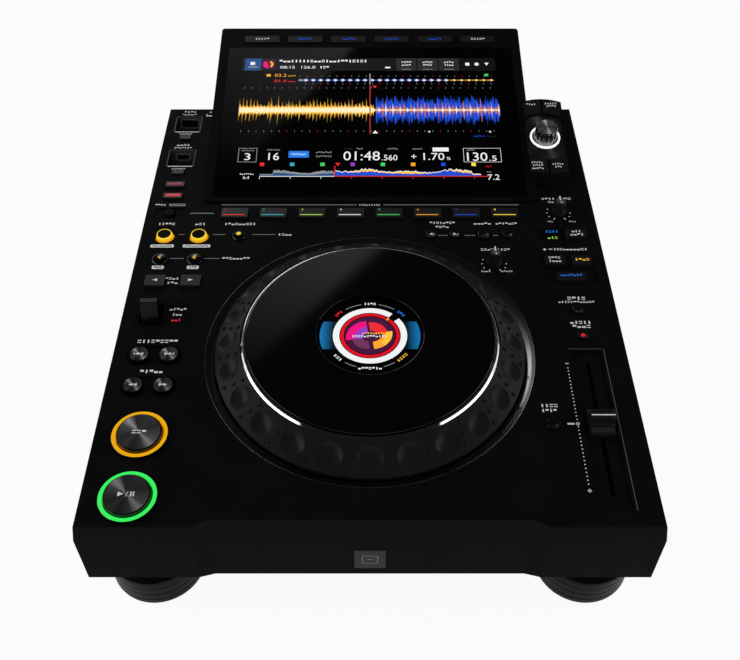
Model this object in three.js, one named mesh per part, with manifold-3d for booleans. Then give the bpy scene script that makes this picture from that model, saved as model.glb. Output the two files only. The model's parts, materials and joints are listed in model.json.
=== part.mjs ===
// Tabletop music player for disc jockeys: a flat case with a jog wheel, a tilted touch display and keys.
// Millimetres, +Z up. The origin is at the middle of the outline, on the surface that the feet stand on.
// The front faces -Y. Places on the deck are measured from the deck's front edge and its top surface.

import * as THREE from 'three';
import { mergeVertices } from 'three/addons/utils/BufferGeometryUtils.js';
import Module from 'manifold-3d';

const wasm = await Module();
wasm.setup();

// Fits and cuts
const clearance = 0.3;
const overrun = 5;

// Jog wheel
const jogSkirtRadius = 99.1;
const jogSkirtHeight = 0.9;
const jogSkirtChamfer = 2;
const jogShoulderRadius = 82.4;
const jogShoulderHeight = 12.6;
const jogSeatHeight = 9;
const jogUndersideDrop = 4.5;
const jogMoat = 7;
const trimRingWidth = 2.8;
const trimRingTop = 13.8;
const trimRingEdge = 1.4;
const jogDiscTop = 15.4;
const jogDiscEdge = 0.8;
const jogDiscStep = 0.3;
const dimpleCount = 24;
const dimpleRadius = 7.9;
const dimpleDepth = 2.5;
const dimpleWaistShare = 0.7;
const dimpleLip = 3;
const jogHubRadius = 40;
const jogHubTop = 8.4;
const jogDiscBore = 34;
const jogDisplayRadius = 32.9;
const jogDisplayTop = 13;
const jogDisplayEdge = 0.6;
const jogBaseFloor = 6;
const jogBaseThickness = 3;
const jogBaseFlange = 5;
const jogBaseRim = 0.8;
const jogBaseSlope = 5;
const jogBaseSlopeDrop = 4.2;

// Case
const sidePanelWidth = 58.4;
const jogFrontMargin = 25.3;
const displaySeatDepth = 118.8;
const caseHeight = 47.5;
const deckWall = 2.5;
const sideWall = 2.5;
const frontWall = 5.5;
const bevelRun = 4.9;
const bevelDrop = 6.2;
const scoopWidth = 181;
const scoopEndRun = 9.3;
const scoopDepth = 2.4;
const scoopDrop = 10.7;
const scoopSetback = 4.7;
const ceilingSetback = 7;
const ceilingDrop = 12;
const chassisWall = 1.5;
const postRadius = 3;
const postHeight = 5;

// Feet
const footRadius = 29;
const footHeight = 36;
const footNeckRadius = 24;
const footNeckHeight = 5;
const footShoulder = 4;
const footEdge = 2.5;
const footSideInset = 32.5;
const footFrontInset = 24.5;
const footRearInset = 38;

// Display
const displayTilt = THREE.MathUtils.degToRad(10.1);
const displayLip = 1.6;
const glassWidth = 234;
const glassDepth = 160.8;
const glassThickness = 1;
const glassSink = 0.1;
const frameSide = 7.75;
const frameFront = 4.5;
const frameRear = 23.3;
const frameThickness = 1.25;
const frameCorner = 2.5;
const displayRearHeight = 21;
const displayWall = 2.5;
const housingSetback = 12;
const housingSideWall = 9;
const housingRearWall = 5;
const displayMargin = 39.75;
const panelThickness = 2.5;
const panelSideInset = 8.5;
const panelFrontInset = 16.5;
const panelRearInset = 11.8;
const menuKeyCount = 6;
const menuKeySideInset = 12.475;
const menuKeyGap = 7.25;
const menuKeyDepth = 7.3;
const menuKeyRise = 1.2;
const menuKeyRearInset = 14.1;
const menuWebThickness = 1.2;
const menuWebMargin = 2;

// Selector beside the display
const selectorReach = 39.8;
const selectorHalfWidth = 15.8;
const selectorOverlap = 5.5;
const selectorSetback = 58.3;
const selectorTopHeight = 18.2;
const selectorRimDrop = 1.2;
const selectorWall = 1.6;
const selectorTopWall = 2;
const selectorPlateRadius = 22.8;
const selectorPlateDrop = 3.2;
const selectorPlateThickness = 1;
const lightRingRadius = 11.9;
const lightRingWidth = 2.1;
const lightRingRise = 1;
const selectorKnobRadius = 8.3;
const selectorKnobHeight = 13;
const selectorKnobLift = 0.6;
const selectorKnobFlutes = 12;
const selectorKnobFluteDepth = 0.9;
const selectorKnobSlope = 1.4;
const selectorShaftRadius = 3;
const selectorShaftGrip = 6.5;
const selectorShaftDrop = 12;
const selectorKeySplit = 1;
const selectorWebThickness = 1.2;
const selectorWebInner = 8;

// Caps and keys on the deck
const capEdge = 0.5;
const capFlange = 1.2;
const capFlangeThickness = 1.4;
const transportCapRadius = 13.6;
const transportCapRise = 4.2;
const transportRingInner = 14.9;
const transportRingOuter = 16.7;
const transportRingRise = 1.4;
const searchCapRadius = 6.6;
const searchCapRise = 2.2;
const searchPocketLength = 35.6;
const searchPocketWidth = 16.4;
const pocketDepth = 0.9;
const loopCapRadius = 6.8;
const loopCapRise = 4.2;
const reloopCapRadius = 5;
const domeCapRise = 2.8;
const beatLoopCapRadius = 5.7;
const domeShoulderShare = 0.45;
const domeCrownShare = 0.55;
const jumpKeyWidth = 13.7;
const jumpKeyDepth = 10.3;
const keyRise = 2.2;
const padWidth = 20;
const padDepth = 10.4;
const padPitch = 28.3;
const padCount = 8;
const padRise = 2;
const stopKeyWidth = 8.6;
const stopKeyDepth = 4.5;
const stopKeyRise = 1.4;
const redKeyWidth = 14;
const redKeyDepth = 5.6;
const redKeyRise = 2;
const togglePocketWidth = 21.5;
const togglePocketDepth = 11.5;
const toggleCapRadius = 4;
const toggleCapRise = 1.2;
const smallCapRadius = 3.6;
const smallCapRise = 1.6;
const deleteDishRadius = 6.1;
const deleteCapRadius = 4.4;
const resetCapRadius = 4.3;
const syncKeyWidth = 14.2;
const syncKeyDepth = 9;
const keySyncWidth = 19.9;
const keySyncDepth = 7.6;
const syncPocketWidth = 36.4;
const syncPocketDepth = 16.1;
const webWidth = 5;

// Turning knobs on the deck
const dialRadius = 5.2;
const dialHeight = 11.8;
const dialTopShare = 0.62;
const dialSkirtRise = 3;
const dialStemRadius = 3;
const dialStemDrop = 8;
const dialLift = 0.4;
const dialPointerWidth = 1.6;
const dialPointerLength = 4.6;
const dialPointerRise = 0.8;

// Direction lever
const leverBezelWidth = 36.5;
const leverBezelDepth = 20.9;
const leverBezelDrop = 9;
const leverPitWidth = 15.6;
const leverPitDepth = 17.5;
const leverPitInset = 2.4;
const leverWindowWidth = 14.4;
const leverWindowDepth = 15.8;
const leverWindowSink = 0.6;
const leverWidth = 11.2;
const leverThickness = 8.4;
const leverRise = 13;
const leverTopRun = 2.6;
const leverAxleRadius = 1.8;
const leverAxleDrop = 5.6;
const leverTail = 2.6;
const leverSlotWidth = 1.8;

// Tempo fader
const faderOpeningWidth = 18.8;
const faderOpeningLength = 117;
const faderFrontInset = 12.2;
const faderSink = 1.2;
const faderLip = 2;
const faderLipThickness = 1.4;
const faderSlotWidth = 2.8;
const faderSlotLength = 100;
const faderCapWidth = 14.5;
const faderCapLength = 19;
const faderCapRise = 10.6;
const faderStemWidth = 1.8;
const faderStemLength = 5.4;
const faderStemDrop = 12;
const faderTrackWidth = 14;
const faderTrackHeight = 11;
const faderTrackEnd = 6;
const faderTrackFloor = 1.5;

// Sockets for storage sticks, sunk in the deck's rear left
const portWidth = 22;
const portDepth = 21.5;
const portDrop = 14;
const portSlopeTop = 9.9;
const portSlopeFoot = 4.6;
const portDeepest = 9.4;
const portFrontDrop = 6.4;
const portWall = 1.2;
const wideSlotWidth = 12.6;
const wideSlotHeight = 5;
const narrowSlotWidth = 8.6;
const narrowSlotHeight = 2.8;
const slotRadius = 0.6;
const slotReach = 3.5;
const portBridgeWidth = 14;
const portBridgeThickness = 2;

// Window in the front face
const frontWindowWidth = 18.7;
const frontWindowHeight = 20.6;
const frontWindowDrop = 30.7;
const frontWindowThickness = 1.4;
const frontWindowProud = 0.2;

// Inner parts and rear sockets
const boardThickness = 1.6;
const mainBoardWidth = 250;
const mainBoardDepth = 150;
const mainBoardSetback = 66;
const coolerWidth = 50;
const coolerHeight = 9;
const chipWidth = 28;
const chipHeight = 3;
const supplyWidth = 74;
const supplyDepth = 92;
const supplySideInset = 20;
const supplyCoilWidth = 34;
const supplyCoilHeight = 20;
const inletWidth = 27;
const inletHeight = 19.5;
const inletDepth = 20;
const inletWall = 2;
const inletReach = 14;
const inletProud = 1.2;
const socketBoardWidth = 128;
const socketBoardDepth = 34;
const socketBoardInset = 2;
const socketAxisLift = 8;
const jackRadius = 4.6;
const jackBoreRadius = 1.6;
const jackLength = 16;
const jackProud = 6;
const jackPitch = 16;
const jackCount = 3;
const networkWidth = 15.6;
const networkHeight = 13;
const networkBore = 11.6;
const networkBoreHeight = 7.6;
const networkSocketDepth = 18;
const computerSocketWidth = 12;
const computerSocketBore = 8;
const computerSocketHeight = 11;
const squareSocketReach = 9;
const socketProud = 0.8;
const squareSocketPitch = 24;

// Circle steps
const wideSteps = 64;
const transportSteps = 28;
const capSteps = 16;
const smallSteps = 12;
const arcSteps = 8;
const cornerSteps = 3;

// Places derived from the sizes above
const recessRadius = jogSkirtRadius + jogMoat;
const displayWidth = glassWidth + 2 * frameSide;
const panelWidth = glassWidth - 2 * panelSideInset;
const panelDepth = frameFront + glassDepth - panelRearInset - panelFrontInset;
const menuKeyWidth = (glassWidth - 2 * menuKeySideInset - (menuKeyCount - 1) * menuKeyGap) / menuKeyCount;
const menuKeyPitch = menuKeyWidth + menuKeyGap;

// The case is as wide as the jog wheel between its side panels, or the display between its margins.
const bodyWidth = Math.max(2 * (recessRadius + sidePanelWidth), displayWidth + 2 * displayMargin);
const jogRow = recessRadius + jogFrontMargin;
const callSetback = 2.3;
const callRow = jogRow + recessRadius + callSetback;
const padSetback = 22.9;
const padRow = callRow + padSetback;
const padToDisplay = 7.8;
const displayFront = padRow + padDepth / 2 + padToDisplay;
const deckDepth = displayFront + displaySeatDepth;
const displayDepth = frameFront + glassDepth + frameRear;
const displayReach = displayDepth * Math.cos(displayTilt) + frameThickness * Math.sin(displayTilt);
const overallLength = bevelRun + displayFront + displayReach;
const deckFrontY = bevelRun - overallLength / 2;
const deckHeight = footHeight + caseHeight;
const jogSeatRadius = jogShoulderRadius - clearance;
const trimInnerRadius = jogSeatRadius - trimRingWidth;
const jogDiscRadius = trimInnerRadius - jogDiscStep;

// Columns of controls, each measured in from the nearer side of the case
const transportInset = 27.5;
const outerInset = 17.2;
const loopPitch = 24.5;
const reloopPitch = 28.7;
const searchPitch = 18.9;
const tempoInset = 25.9;
const resetPitch = 28.5;
const syncPitch = 18.9;
const leftSide = -bodyWidth / 2;
const rightSide = bodyWidth / 2;
const transportX = leftSide + transportInset;
const outerX = leftSide + outerInset;
const loopX = outerX + loopPitch;
const reloopX = loopX + reloopPitch;
const searchX = outerX + searchPitch;
const tempoX = rightSide - tempoInset;
const resetX = tempoX - resetPitch;
const syncRightX = tempoX + syncPitch / 2;
const syncLeftX = tempoX - syncPitch / 2;

// Rows of controls, each a step behind the one in front of it
const playInset = 19;
const cueStep = 43.3;
const searchStep = 37.7;
const trackStep = 25.3;
const leverStep = 36.7;
const jumpStep = 30.1;
const beatLoopStep = 22.1;
const loopStep = 24.5;
const toggleStep = 25.4;
const redStep = 18.1;
const redPitch = 13.4;
const stopStep = 15.6;
const portStep = 18.4;
const stopReturnStep = 25.4;
const playRow = playInset;
const cueRow = playRow + cueStep;
const searchRow = cueRow + searchStep;
const trackRow = searchRow + trackStep;
const leverRow = trackRow + leverStep;
const jumpRow = leverRow + jumpStep;
const beatLoopRow = jumpRow + beatLoopStep;
const loopRow = beatLoopRow + loopStep;
const toggleRow = loopRow + toggleStep;

// The rows beside the display share out the room from the call switch to the storage socket at the rear.
const portRearInset = 20.8;
const mediaSteps = [redStep, redPitch, stopStep, portStep, stopReturnStep, portStep + clearance];
const sumOf = (lengths) => lengths.reduce((sum, length) => sum + length);
const mediaSpread = (deckDepth - portRearInset - toggleRow) / sumOf(mediaSteps);
const mediaRow = (i) => toggleRow + mediaSpread * sumOf(mediaSteps.slice(0, i + 1));
const [redRow, secondRedRow, stopRow, portRow, secondStopRow, secondPortRow] = (
  mediaSteps.map((_, i) => mediaRow(i)));

// Rows of the right side
const faderRow = faderFrontInset + faderOpeningLength / 2;
const masterTempoStep = 13.1;
const rangeStep = 22.7;
const keySyncStep = 30.6;
const syncStep = 16.5;
const modeStep = 27.7;
const speedStep = 24.7;
const masterTempoRow = faderFrontInset + faderOpeningLength + masterTempoStep;
const rangeRow = masterTempoRow + rangeStep;
const keySyncRow = rangeRow + keySyncStep;
const syncRow = keySyncRow + syncStep;
const modeRow = syncRow + modeStep;
const speedRow = modeRow + speedStep;
const memoryX = padPitch * (padCount - 1) / 2;
const memoryPitch = 17.4;
const callPitch = 17.2;
const deletePitch = 20.4;
const deleteX = memoryX - memoryPitch;
const callX = deleteX - deletePitch - callPitch;
const feelGap = 11.2;
const feelAngle = THREE.MathUtils.degToRad(42.4);
const feelReach = recessRadius + feelGap;
const feelX = feelReach * Math.cos(feelAngle);
const feelRow = jogRow + feelReach * Math.sin(feelAngle);
const leverX = transportX;
const selectorX = displayWidth / 2 + selectorHalfWidth - selectorOverlap;
const selectorRow = displayFront + selectorSetback;
const capFoot = deckWall + clearance + capFlangeThickness;

// A closed three.js geometry as a solid that can be joined and cut. One that comes inside out is turned.
function solid(geometry) {
  const bare = geometry.clone();
  bare.deleteAttribute('normal');
  bare.deleteAttribute('uv');
  const merged = mergeVertices(bare);
  const places = merged.getAttribute('position');
  const corners = merged.index.array;
  const kept = [];
  const [a, b, c] = [new THREE.Vector3(), new THREE.Vector3(), new THREE.Vector3()];
  let volume = 0;
  for (let i = 0; i < corners.length; i += 3) {
    const [p, q, r] = [corners[i], corners[i + 1], corners[i + 2]];
    if (p === q || q === r || r === p) continue;
    kept.push([p, q, r]);
    a.fromBufferAttribute(places, p);
    b.fromBufferAttribute(places, q);
    c.fromBufferAttribute(places, r);
    volume += a.dot(b.cross(c)) / 6;
  }
  const turned = volume < 0 ? kept.map(([p, q, r]) => [p, r, q]) : kept;
  const triVerts = new Uint32Array(turned.flat());
  const vertProperties = new Float32Array(places.array);
  return new wasm.Manifold(new wasm.Mesh({ numProp: 3, vertProperties, triVerts }));
}

function join(solids) {
  return solids.reduce((whole, piece) => whole.add(piece));
}

function cut(body, cutters) {
  return body.subtract(join(cutters));
}

// The named mesh of one sub-part, in the frame of the group that carries it
function part(name, body, finish, parent, x = 0, y = 0, z = 0) {
  const { vertProperties, triVerts } = body.getMesh();
  const geometry = new THREE.BufferGeometry();
  geometry.setAttribute('position', new THREE.BufferAttribute(new Float32Array(vertProperties), 3));
  geometry.setIndex(new THREE.BufferAttribute(new Uint32Array(triVerts), 1));
  geometry.computeVertexNormals();
  const made = new THREE.Mesh(geometry, finish.clone());
  made.name = name;
  made.position.set(x, y, z);
  parent.add(made);
  return made;
}

// A block centred on x, y, between two heights
function block(x, y, width, depth, low, high) {
  const geometry = new THREE.BoxGeometry(width, depth, high - low);
  return solid(geometry.translate(x, y, (low + high) / 2));
}

// A cylinder on x, y, between two heights
function post(x, y, radius, low, high, steps) {
  const geometry = new THREE.CylinderGeometry(radius, radius, high - low, steps);
  return solid(geometry.rotateX(Math.PI / 2).translate(x, y, (low + high) / 2));
}

// A turned shape about Z, from pairs of radius and height
function turned(pairs, steps) {
  const profile = pairs.map(([radius, height]) => new THREE.Vector2(radius, height));
  return solid(new THREE.LatheGeometry(profile, steps).rotateX(Math.PI / 2));
}

// A turned ring about Z, whose profile closes on itself
function ring(pairs, steps) {
  return turned([...pairs, pairs[0]], steps);
}

// An outline in X and Y carried up from one height to another
function prism(outline, low, high) {
  const shape = outline instanceof THREE.Shape ? outline : new THREE.Shape(outline);
  const geometry = new THREE.ExtrudeGeometry(shape, { depth: high - low, bevelEnabled: false });
  return solid(geometry.translate(0, 0, low));
}

// A side outline, pairs of y and z, carried across the width
function across(pairs, x, width) {
  const shape = new THREE.Shape(pairs.map(([y, z]) => new THREE.Vector2(y, z)));
  const geometry = new THREE.ExtrudeGeometry(shape, { depth: width, bevelEnabled: false });
  geometry.translate(0, 0, -width / 2);
  geometry.applyMatrix4(new THREE.Matrix4().makeBasis(
    new THREE.Vector3(0, 1, 0), new THREE.Vector3(0, 0, 1), new THREE.Vector3(1, 0, 0)));
  return solid(geometry.translate(x, 0, 0));
}

// A rectangle with round corners, about the origin
function roundRect(width, depth, radius) {
  const points = [];
  const centres = [[1, 1], [-1, 1], [-1, -1], [1, -1]];
  centres.forEach(([sx, sy], quarter) => {
    for (let i = 0; i <= cornerSteps; i += 1) {
      const angle = (quarter + i / cornerSteps) * Math.PI / 2;
      points.push(new THREE.Vector2(
        sx * (width / 2 - radius) + radius * Math.cos(angle),
        sy * (depth / 2 - radius) + radius * Math.sin(angle)));
    }
  });
  return points;
}

// A pocket with round ends that joins two places in a row
function pill(x, y, length, width, low, high) {
  return prism(roundRect(length, width, width / 2 - clearance), low, high).translate([x, y, 0]);
}

// Sections of equal count along X, joined into one body. Each runs clockwise, seen with Y to the right.
function loft(stations) {
  const count = stations[0].pairs.length;
  const places = stations.flatMap(({ x, pairs }) => pairs.flatMap(([y, z]) => [x, y, z]));
  const faces = [];
  for (let s = 0; s + 1 < stations.length; s += 1) {
    for (let i = 0; i < count; i += 1) {
      const [a, b] = [s * count + i, s * count + (i + 1) % count];
      faces.push([a, b, b + count], [a, b + count, a + count]);
    }
  }
  const last = (stations.length - 1) * count;
  const flat = stations[0].pairs.map(([y, z]) => new THREE.Vector2(y, z));
  const end = THREE.ShapeUtils.triangulateShape(flat, []);
  end.forEach(([a, b, c]) => faces.push([a, b, c], [a + last, c + last, b + last]));
  const geometry = new THREE.BufferGeometry();
  geometry.setAttribute('position', new THREE.Float32BufferAttribute(places, 3));
  geometry.setIndex(faces.flat());
  return solid(geometry);
}

// Finishes
const paint = (color, roughness, metalness = 0) => (
  new THREE.MeshStandardMaterial({ color, roughness, metalness }));
const caseBlack = paint(0x1b1b1d, 0.55);
const gloss = paint(0x0a0a0c, 0.12);
const keyBlack = paint(0x232326, 0.45);
const steel = paint(0x9a9ca0, 0.4, 0.9);
const chrome = paint(0xd8dade, 0.12, 1);
const brushed = paint(0x8d9094, 0.32, 1);
const orange = paint(0xf2a71b, 0.4);
const green = paint(0x35d363, 0.4);
const red = paint(0xb01824, 0.4);
const pale = paint(0xf0f2f5, 0.35);
const board = paint(0x12472f, 0.6);
const rubber = paint(0x101012, 0.8);
const screen = paint(0x0b0f18, 0.25);

// The frames that carry the parts: the deck, the tilted display and the tilted selector top
const player = new THREE.Group();
const deck = new THREE.Group();
deck.position.set(0, deckFrontY, deckHeight);
player.add(deck);
const display = new THREE.Group();
display.position.set(0, displayFront, displayLip);
display.rotation.x = displayTilt;
deck.add(display);
const selector = new THREE.Group();
selector.position.set(selectorX, selectorRow, selectorTopHeight);
selector.rotation.x = displayTilt;
deck.add(selector);

// Rectangular keys and round caps of the deck, by place and size
const cap = (name, x, y, radius, rise) => ({ name, x, y, radius, rise });
const key = (name, x, y, width, depth, rise) => ({ name, x, y, width, depth, rise });
const transportCaps = [
  cap('play_button', transportX, playRow, transportCapRadius, transportCapRise),
  cap('cue_button', transportX, cueRow, transportCapRadius, transportCapRise),
];
const searchCaps = [
  cap('search_back_button', outerX, searchRow, searchCapRadius, searchCapRise),
  cap('search_forward_button', searchX, searchRow, searchCapRadius, searchCapRise),
  cap('track_back_button', outerX, trackRow, searchCapRadius, searchCapRise),
  cap('track_forward_button', searchX, trackRow, searchCapRadius, searchCapRise),
];
const loopCaps = [
  cap('loop_in_button', outerX, loopRow, loopCapRadius, loopCapRise),
  cap('loop_out_button', loopX, loopRow, loopCapRadius, loopCapRise),
];
const callCap = cap('call_button', outerX, toggleRow, toggleCapRadius, toggleCapRise);
const reloopCap = cap('reloop_button', reloopX, loopRow, reloopCapRadius, domeCapRise);
const beatLoopCaps = [
  cap('beat_loop_four', outerX, beatLoopRow, beatLoopCapRadius, domeCapRise),
  cap('beat_loop_eight', loopX, beatLoopRow, beatLoopCapRadius, domeCapRise),
];
const jumpKeys = [
  key('jump_back', outerX, jumpRow, jumpKeyWidth, jumpKeyDepth, keyRise),
  key('jump_forward', loopX, jumpRow, jumpKeyWidth, jumpKeyDepth, keyRise),
];
const padNames = ['a', 'b', 'c', 'd', 'e', 'f', 'g', 'h'];
const pads = padNames.map((letter, i) => {
  const x = padPitch * (i - (padCount - 1) / 2);
  return key(`hot_cue_pad_${letter}`, x, padRow, padWidth, padDepth, padRise);
});
const mediaKeys = [
  key('stop_key', outerX, stopRow, stopKeyWidth, stopKeyDepth, stopKeyRise),
  key('second_stop_key', outerX, secondStopRow, stopKeyWidth, stopKeyDepth, stopKeyRise),
  key('red_key', outerX, redRow, redKeyWidth, redKeyDepth, redKeyRise),
  key('second_red_key', outerX, secondRedRow, redKeyWidth, redKeyDepth, redKeyRise),
];
const memoryCaps = [
  cap('call_back', callX, callRow, smallCapRadius, smallCapRise),
  cap('call_forward', callX + callPitch, callRow, smallCapRadius, smallCapRise),
  cap('delete', deleteX, callRow, deleteCapRadius, smallCapRise),
  cap('memory', memoryX, callRow, smallCapRadius, smallCapRise),
];
const syncKeys = [
  key('jog_mode', syncRightX, modeRow, syncKeyWidth, syncKeyDepth, keyRise),
  key('beat_sync', syncLeftX, syncRow, syncKeyWidth, syncKeyDepth, keyRise),
  key('master', syncRightX, syncRow, syncKeyWidth, syncKeyDepth, keyRise),
  key('key_sync', tempoX, keySyncRow, keySyncWidth, keySyncDepth, keyRise),
];
const tempoCaps = [
  cap('tempo_range', tempoX, rangeRow, smallCapRadius, smallCapRise),
  cap('master_tempo', tempoX, masterTempoRow, smallCapRadius, smallCapRise),
  cap('tempo_reset', resetX, faderRow, resetCapRadius, smallCapRise),
];

// A flat-topped cap with a flange that holds it under the deck
function capSolid({ radius, rise }, steps) {
  return turned([
    [0, rise],
    [radius - capEdge, rise],
    [radius, rise - capEdge],
    [radius, -deckWall - clearance],
    [radius + capFlange, -deckWall - clearance],
    [radius + capFlange, -capFoot],
    [0, -capFoot],
  ], steps);
}

// The same cap with a domed top
function domeSolid({ radius, rise }, steps) {
  return turned([
    [0, rise],
    [radius * domeShoulderShare, rise * (1 + domeShoulderShare) / 2 + rise * domeCrownShare / 4],
    [radius * (1 + domeShoulderShare) / 2, rise * domeCrownShare],
    [radius, 0],
    [radius, -deckWall - clearance],
    [radius + capFlange, -deckWall - clearance],
    [radius + capFlange, -capFoot],
    [0, -capFoot],
  ], steps);
}

// A rectangular key with the same flange
function keySolid({ width, depth, rise }) {
  const flange = 2 * capFlange;
  return join([
    block(0, 0, width, depth, -capFoot, rise),
    block(0, 0, width + flange, depth + flange, -capFoot, -deckWall - clearance),
  ]);
}

const moved = (body, { x, y }) => body.translate([x, y, 0]);
const webTop = -deckWall - clearance - capFlangeThickness / 2;
const webBottom = -capFoot;

// A thin strip under the deck, between two corners, that ties keys of one set
function web(x0, y0, x1, y1) {
  return block((x0 + x1) / 2, (y0 + y1) / 2, Math.abs(x1 - x0), Math.abs(y1 - y0), webBottom, webTop);
}

// Case

const cavityFront = frontWall - bevelRun;

// The scoop cuts the middle of the front edge back and ends in slanted facets.
function frontScoop() {
  const below = -caseHeight - overrun;
  const outside = -bevelRun - overrun;
  const faded = [
    [0, 0], [-bevelRun, -bevelDrop], [-bevelRun, below], [outside, below], [outside, overrun], [0, overrun],
  ];
  const cutBack = scoopDepth - bevelRun;
  const deep = [
    [scoopSetback, 0], [cutBack, -scoopDrop], [cutBack, below],
    [outside, below], [outside, overrun], [scoopSetback, overrun],
  ];
  const inner = scoopWidth / 2;
  const outer = inner + scoopEndRun;
  return loft([
    { x: -outer, pairs: faded },
    { x: -inner, pairs: deep },
    { x: inner, pairs: deep },
    { x: outer, pairs: faded },
  ]);
}

function capHole({ x, y, radius }, steps) {
  return post(x, y, radius + clearance, -deckWall - overrun, overrun, steps);
}

function keyHole({ x, y, width, depth }) {
  const play = 2 * clearance;
  return block(x, y, width + play, depth + play, -deckWall - overrun, overrun);
}

function deckCutters() {
  const through = [-deckWall - overrun, overrun];
  const rings = [playRow, cueRow].map((row) => (
    post(transportX, row, transportRingOuter + clearance, ...through, transportSteps)));
  const searchMiddle = (outerX + searchX) / 2;
  const pockets = [searchRow, trackRow].map((row) => (
    pill(searchMiddle, row, searchPocketLength, searchPocketWidth, -pocketDepth, overrun)));
  const ports = [portRow, secondPortRow].map((row) => (
    block(outerX, row, portWidth, portDepth, ...through)));
  const smallHoles = [...memoryCaps, ...tempoCaps].map((entry) => capHole(entry, smallSteps));
  const keyHoles = [...jumpKeys, ...pads, ...mediaKeys, ...syncKeys].map(keyHole);
  const roundCaps = [...searchCaps, ...loopCaps, ...beatLoopCaps, callCap, reloopCap];
  const roundHoles = roundCaps.map((entry) => capHole(entry, capSteps));
  const dials = [[feelX, feelRow], [tempoX, speedRow]].map(([x, y]) => (
    post(x, y, dialStemRadius + clearance, ...through, smallSteps)));
  return [
    post(0, jogRow, recessRadius, ...through, wideSteps),
    ...rings, ...pockets, ...ports, ...smallHoles, ...keyHoles, ...roundHoles, ...dials,
    block(outerX, toggleRow, togglePocketWidth, togglePocketDepth, -pocketDepth, overrun),
    post(deleteX, callRow, deleteDishRadius, -pocketDepth, overrun, capSteps),
    block(tempoX, keySyncRow + syncPocketDepth / 4, syncPocketWidth, syncPocketDepth, -pocketDepth, overrun),
    block(leverX, leverRow, leverBezelWidth, leverBezelDepth, ...through),
    block(tempoX, faderRow, faderOpeningWidth, faderOpeningLength, ...through),
  ];
}

function topCover() {
  const low = -caseHeight - overrun;
  const outer = across([
    [-bevelRun, -caseHeight], [-bevelRun, -bevelDrop], [0, 0], [deckDepth, 0], [deckDepth, -caseHeight],
  ], 0, bodyWidth);
  const cavity = across([
    [cavityFront, low], [cavityFront, -ceilingDrop], [ceilingSetback, -deckWall],
    [deckDepth + overrun, -deckWall], [deckDepth + overrun, low],
  ], 0, bodyWidth - 2 * sideWall);
  const window = block(0, -bevelRun, frontWindowWidth, 2 * frontWall,
    -frontWindowDrop - frontWindowHeight / 2, -frontWindowDrop + frontWindowHeight / 2);
  return cut(outer, [cavity, frontScoop(), window, ...deckCutters()]);
}
part('top_cover', topCover(), caseBlack, deck);

const windowFace = scoopDepth - bevelRun - frontWindowProud;
const windowPaneHeight = frontWindowHeight - 2 * clearance;
part('front_window', block(0, windowFace + frontWindowThickness / 2, frontWindowWidth - 2 * clearance,
  frontWindowThickness, -windowPaneHeight / 2, windowPaneHeight / 2), gloss, deck, 0, 0, -frontWindowDrop);

// The steel tray: floor, rear wall with its cut-outs, and posts under the boards
const insideWidth = bodyWidth - 2 * (sideWall + clearance);
const floorTop = -caseHeight + chassisWall;
const rearFace = deckDepth - chassisWall;
const boardFloor = floorTop + postHeight + clearance;
const mainBoardRow = mainBoardSetback + mainBoardDepth / 2;
const supplyX = leftSide + sideWall + supplySideInset + supplyWidth / 2;
const supplyRow = rearFace - inletReach - supplyDepth / 2;
const inletAxis = boardFloor + boardThickness + inletHeight / 2;
const socketAxis = boardFloor + boardThickness + socketAxisLift;
const jackXs = Array.from({ length: jackCount }, (_, i) => jackPitch * (i + 1 / 2));
const networkX = jackPitch * jackCount + squareSocketPitch / 2;
const computerX = networkX + squareSocketPitch;
const socketBoardX = socketBoardWidth / 2 - jackPitch / 2;
const socketBoardRow = rearFace - socketBoardInset - socketBoardDepth / 2;

function bottomChassis() {
  const floor = block(0, (cavityFront + clearance + deckDepth) / 2, insideWidth,
    deckDepth - cavityFront - clearance, -caseHeight, floorTop);
  const rear = block(0, deckDepth - chassisWall / 2, insideWidth, chassisWall,
    -caseHeight, -deckWall - clearance);
  const standoff = (x, y) => (
    post(x, y, postRadius, floorTop - chassisWall / 2, floorTop + postHeight, smallSteps));
  const [postX, postY] = [mainBoardWidth / 2 - postHeight, mainBoardDepth / 2 - postHeight];
  const boardPosts = [-1, 1].flatMap((sx) => (
    [-1, 1].map((sy) => standoff(sx * postX, mainBoardRow + sy * postY))));
  const supplyReach = supplyDepth / 2 - postHeight;
  const supplyPosts = [-1, 1].map((sy) => standoff(supplyX, supplyRow + sy * supplyReach));
  const socketPosts = [-1, 1].map((sx) => (
    standoff(socketBoardX + sx * (socketBoardWidth / 2 - postHeight), socketBoardRow)));
  const slack = 2 * clearance;
  const through = 2 * chassisWall;
  const square = (x, z, width, height) => (
    block(x, deckDepth, width + slack, 2 * through, z - (height + slack) / 2, z + (height + slack) / 2));
  const jackHoles = jackXs.map((x) => (
    post(0, 0, jackRadius + clearance, -through, through, capSteps).rotate([90, 0, 0])
      .translate([x, deckDepth, socketAxis])));
  return cut(join([floor, rear, ...boardPosts, ...supplyPosts, ...socketPosts]), [
    square(supplyX, inletAxis, inletWidth, inletHeight),
    square(networkX, socketAxis, networkWidth, networkHeight),
    square(computerX, socketAxis, computerSocketWidth, computerSocketHeight),
    ...jackHoles,
  ]);
}
part('bottom_chassis', bottomChassis(), steel, deck);

// The main board stands on the tray's posts and carries a cooler and a row of chips.
function mainBoard() {
  const plate = block(0, 0, mainBoardWidth, mainBoardDepth, 0, boardThickness);
  const base = boardThickness / 2;
  const cooler = block(-coolerWidth, 0, coolerWidth, coolerWidth, base, boardThickness + coolerHeight);
  const chips = [0, 1, 2].map((i) => (
    block(chipWidth * (1 + 3 * i / 2) - coolerWidth / 4, chipWidth, chipWidth, chipWidth, base,
      boardThickness + chipHeight)));
  return join([plate, cooler, ...chips]);
}
part('main_board', mainBoard(), board, deck, 0, mainBoardRow, boardFloor);

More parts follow.
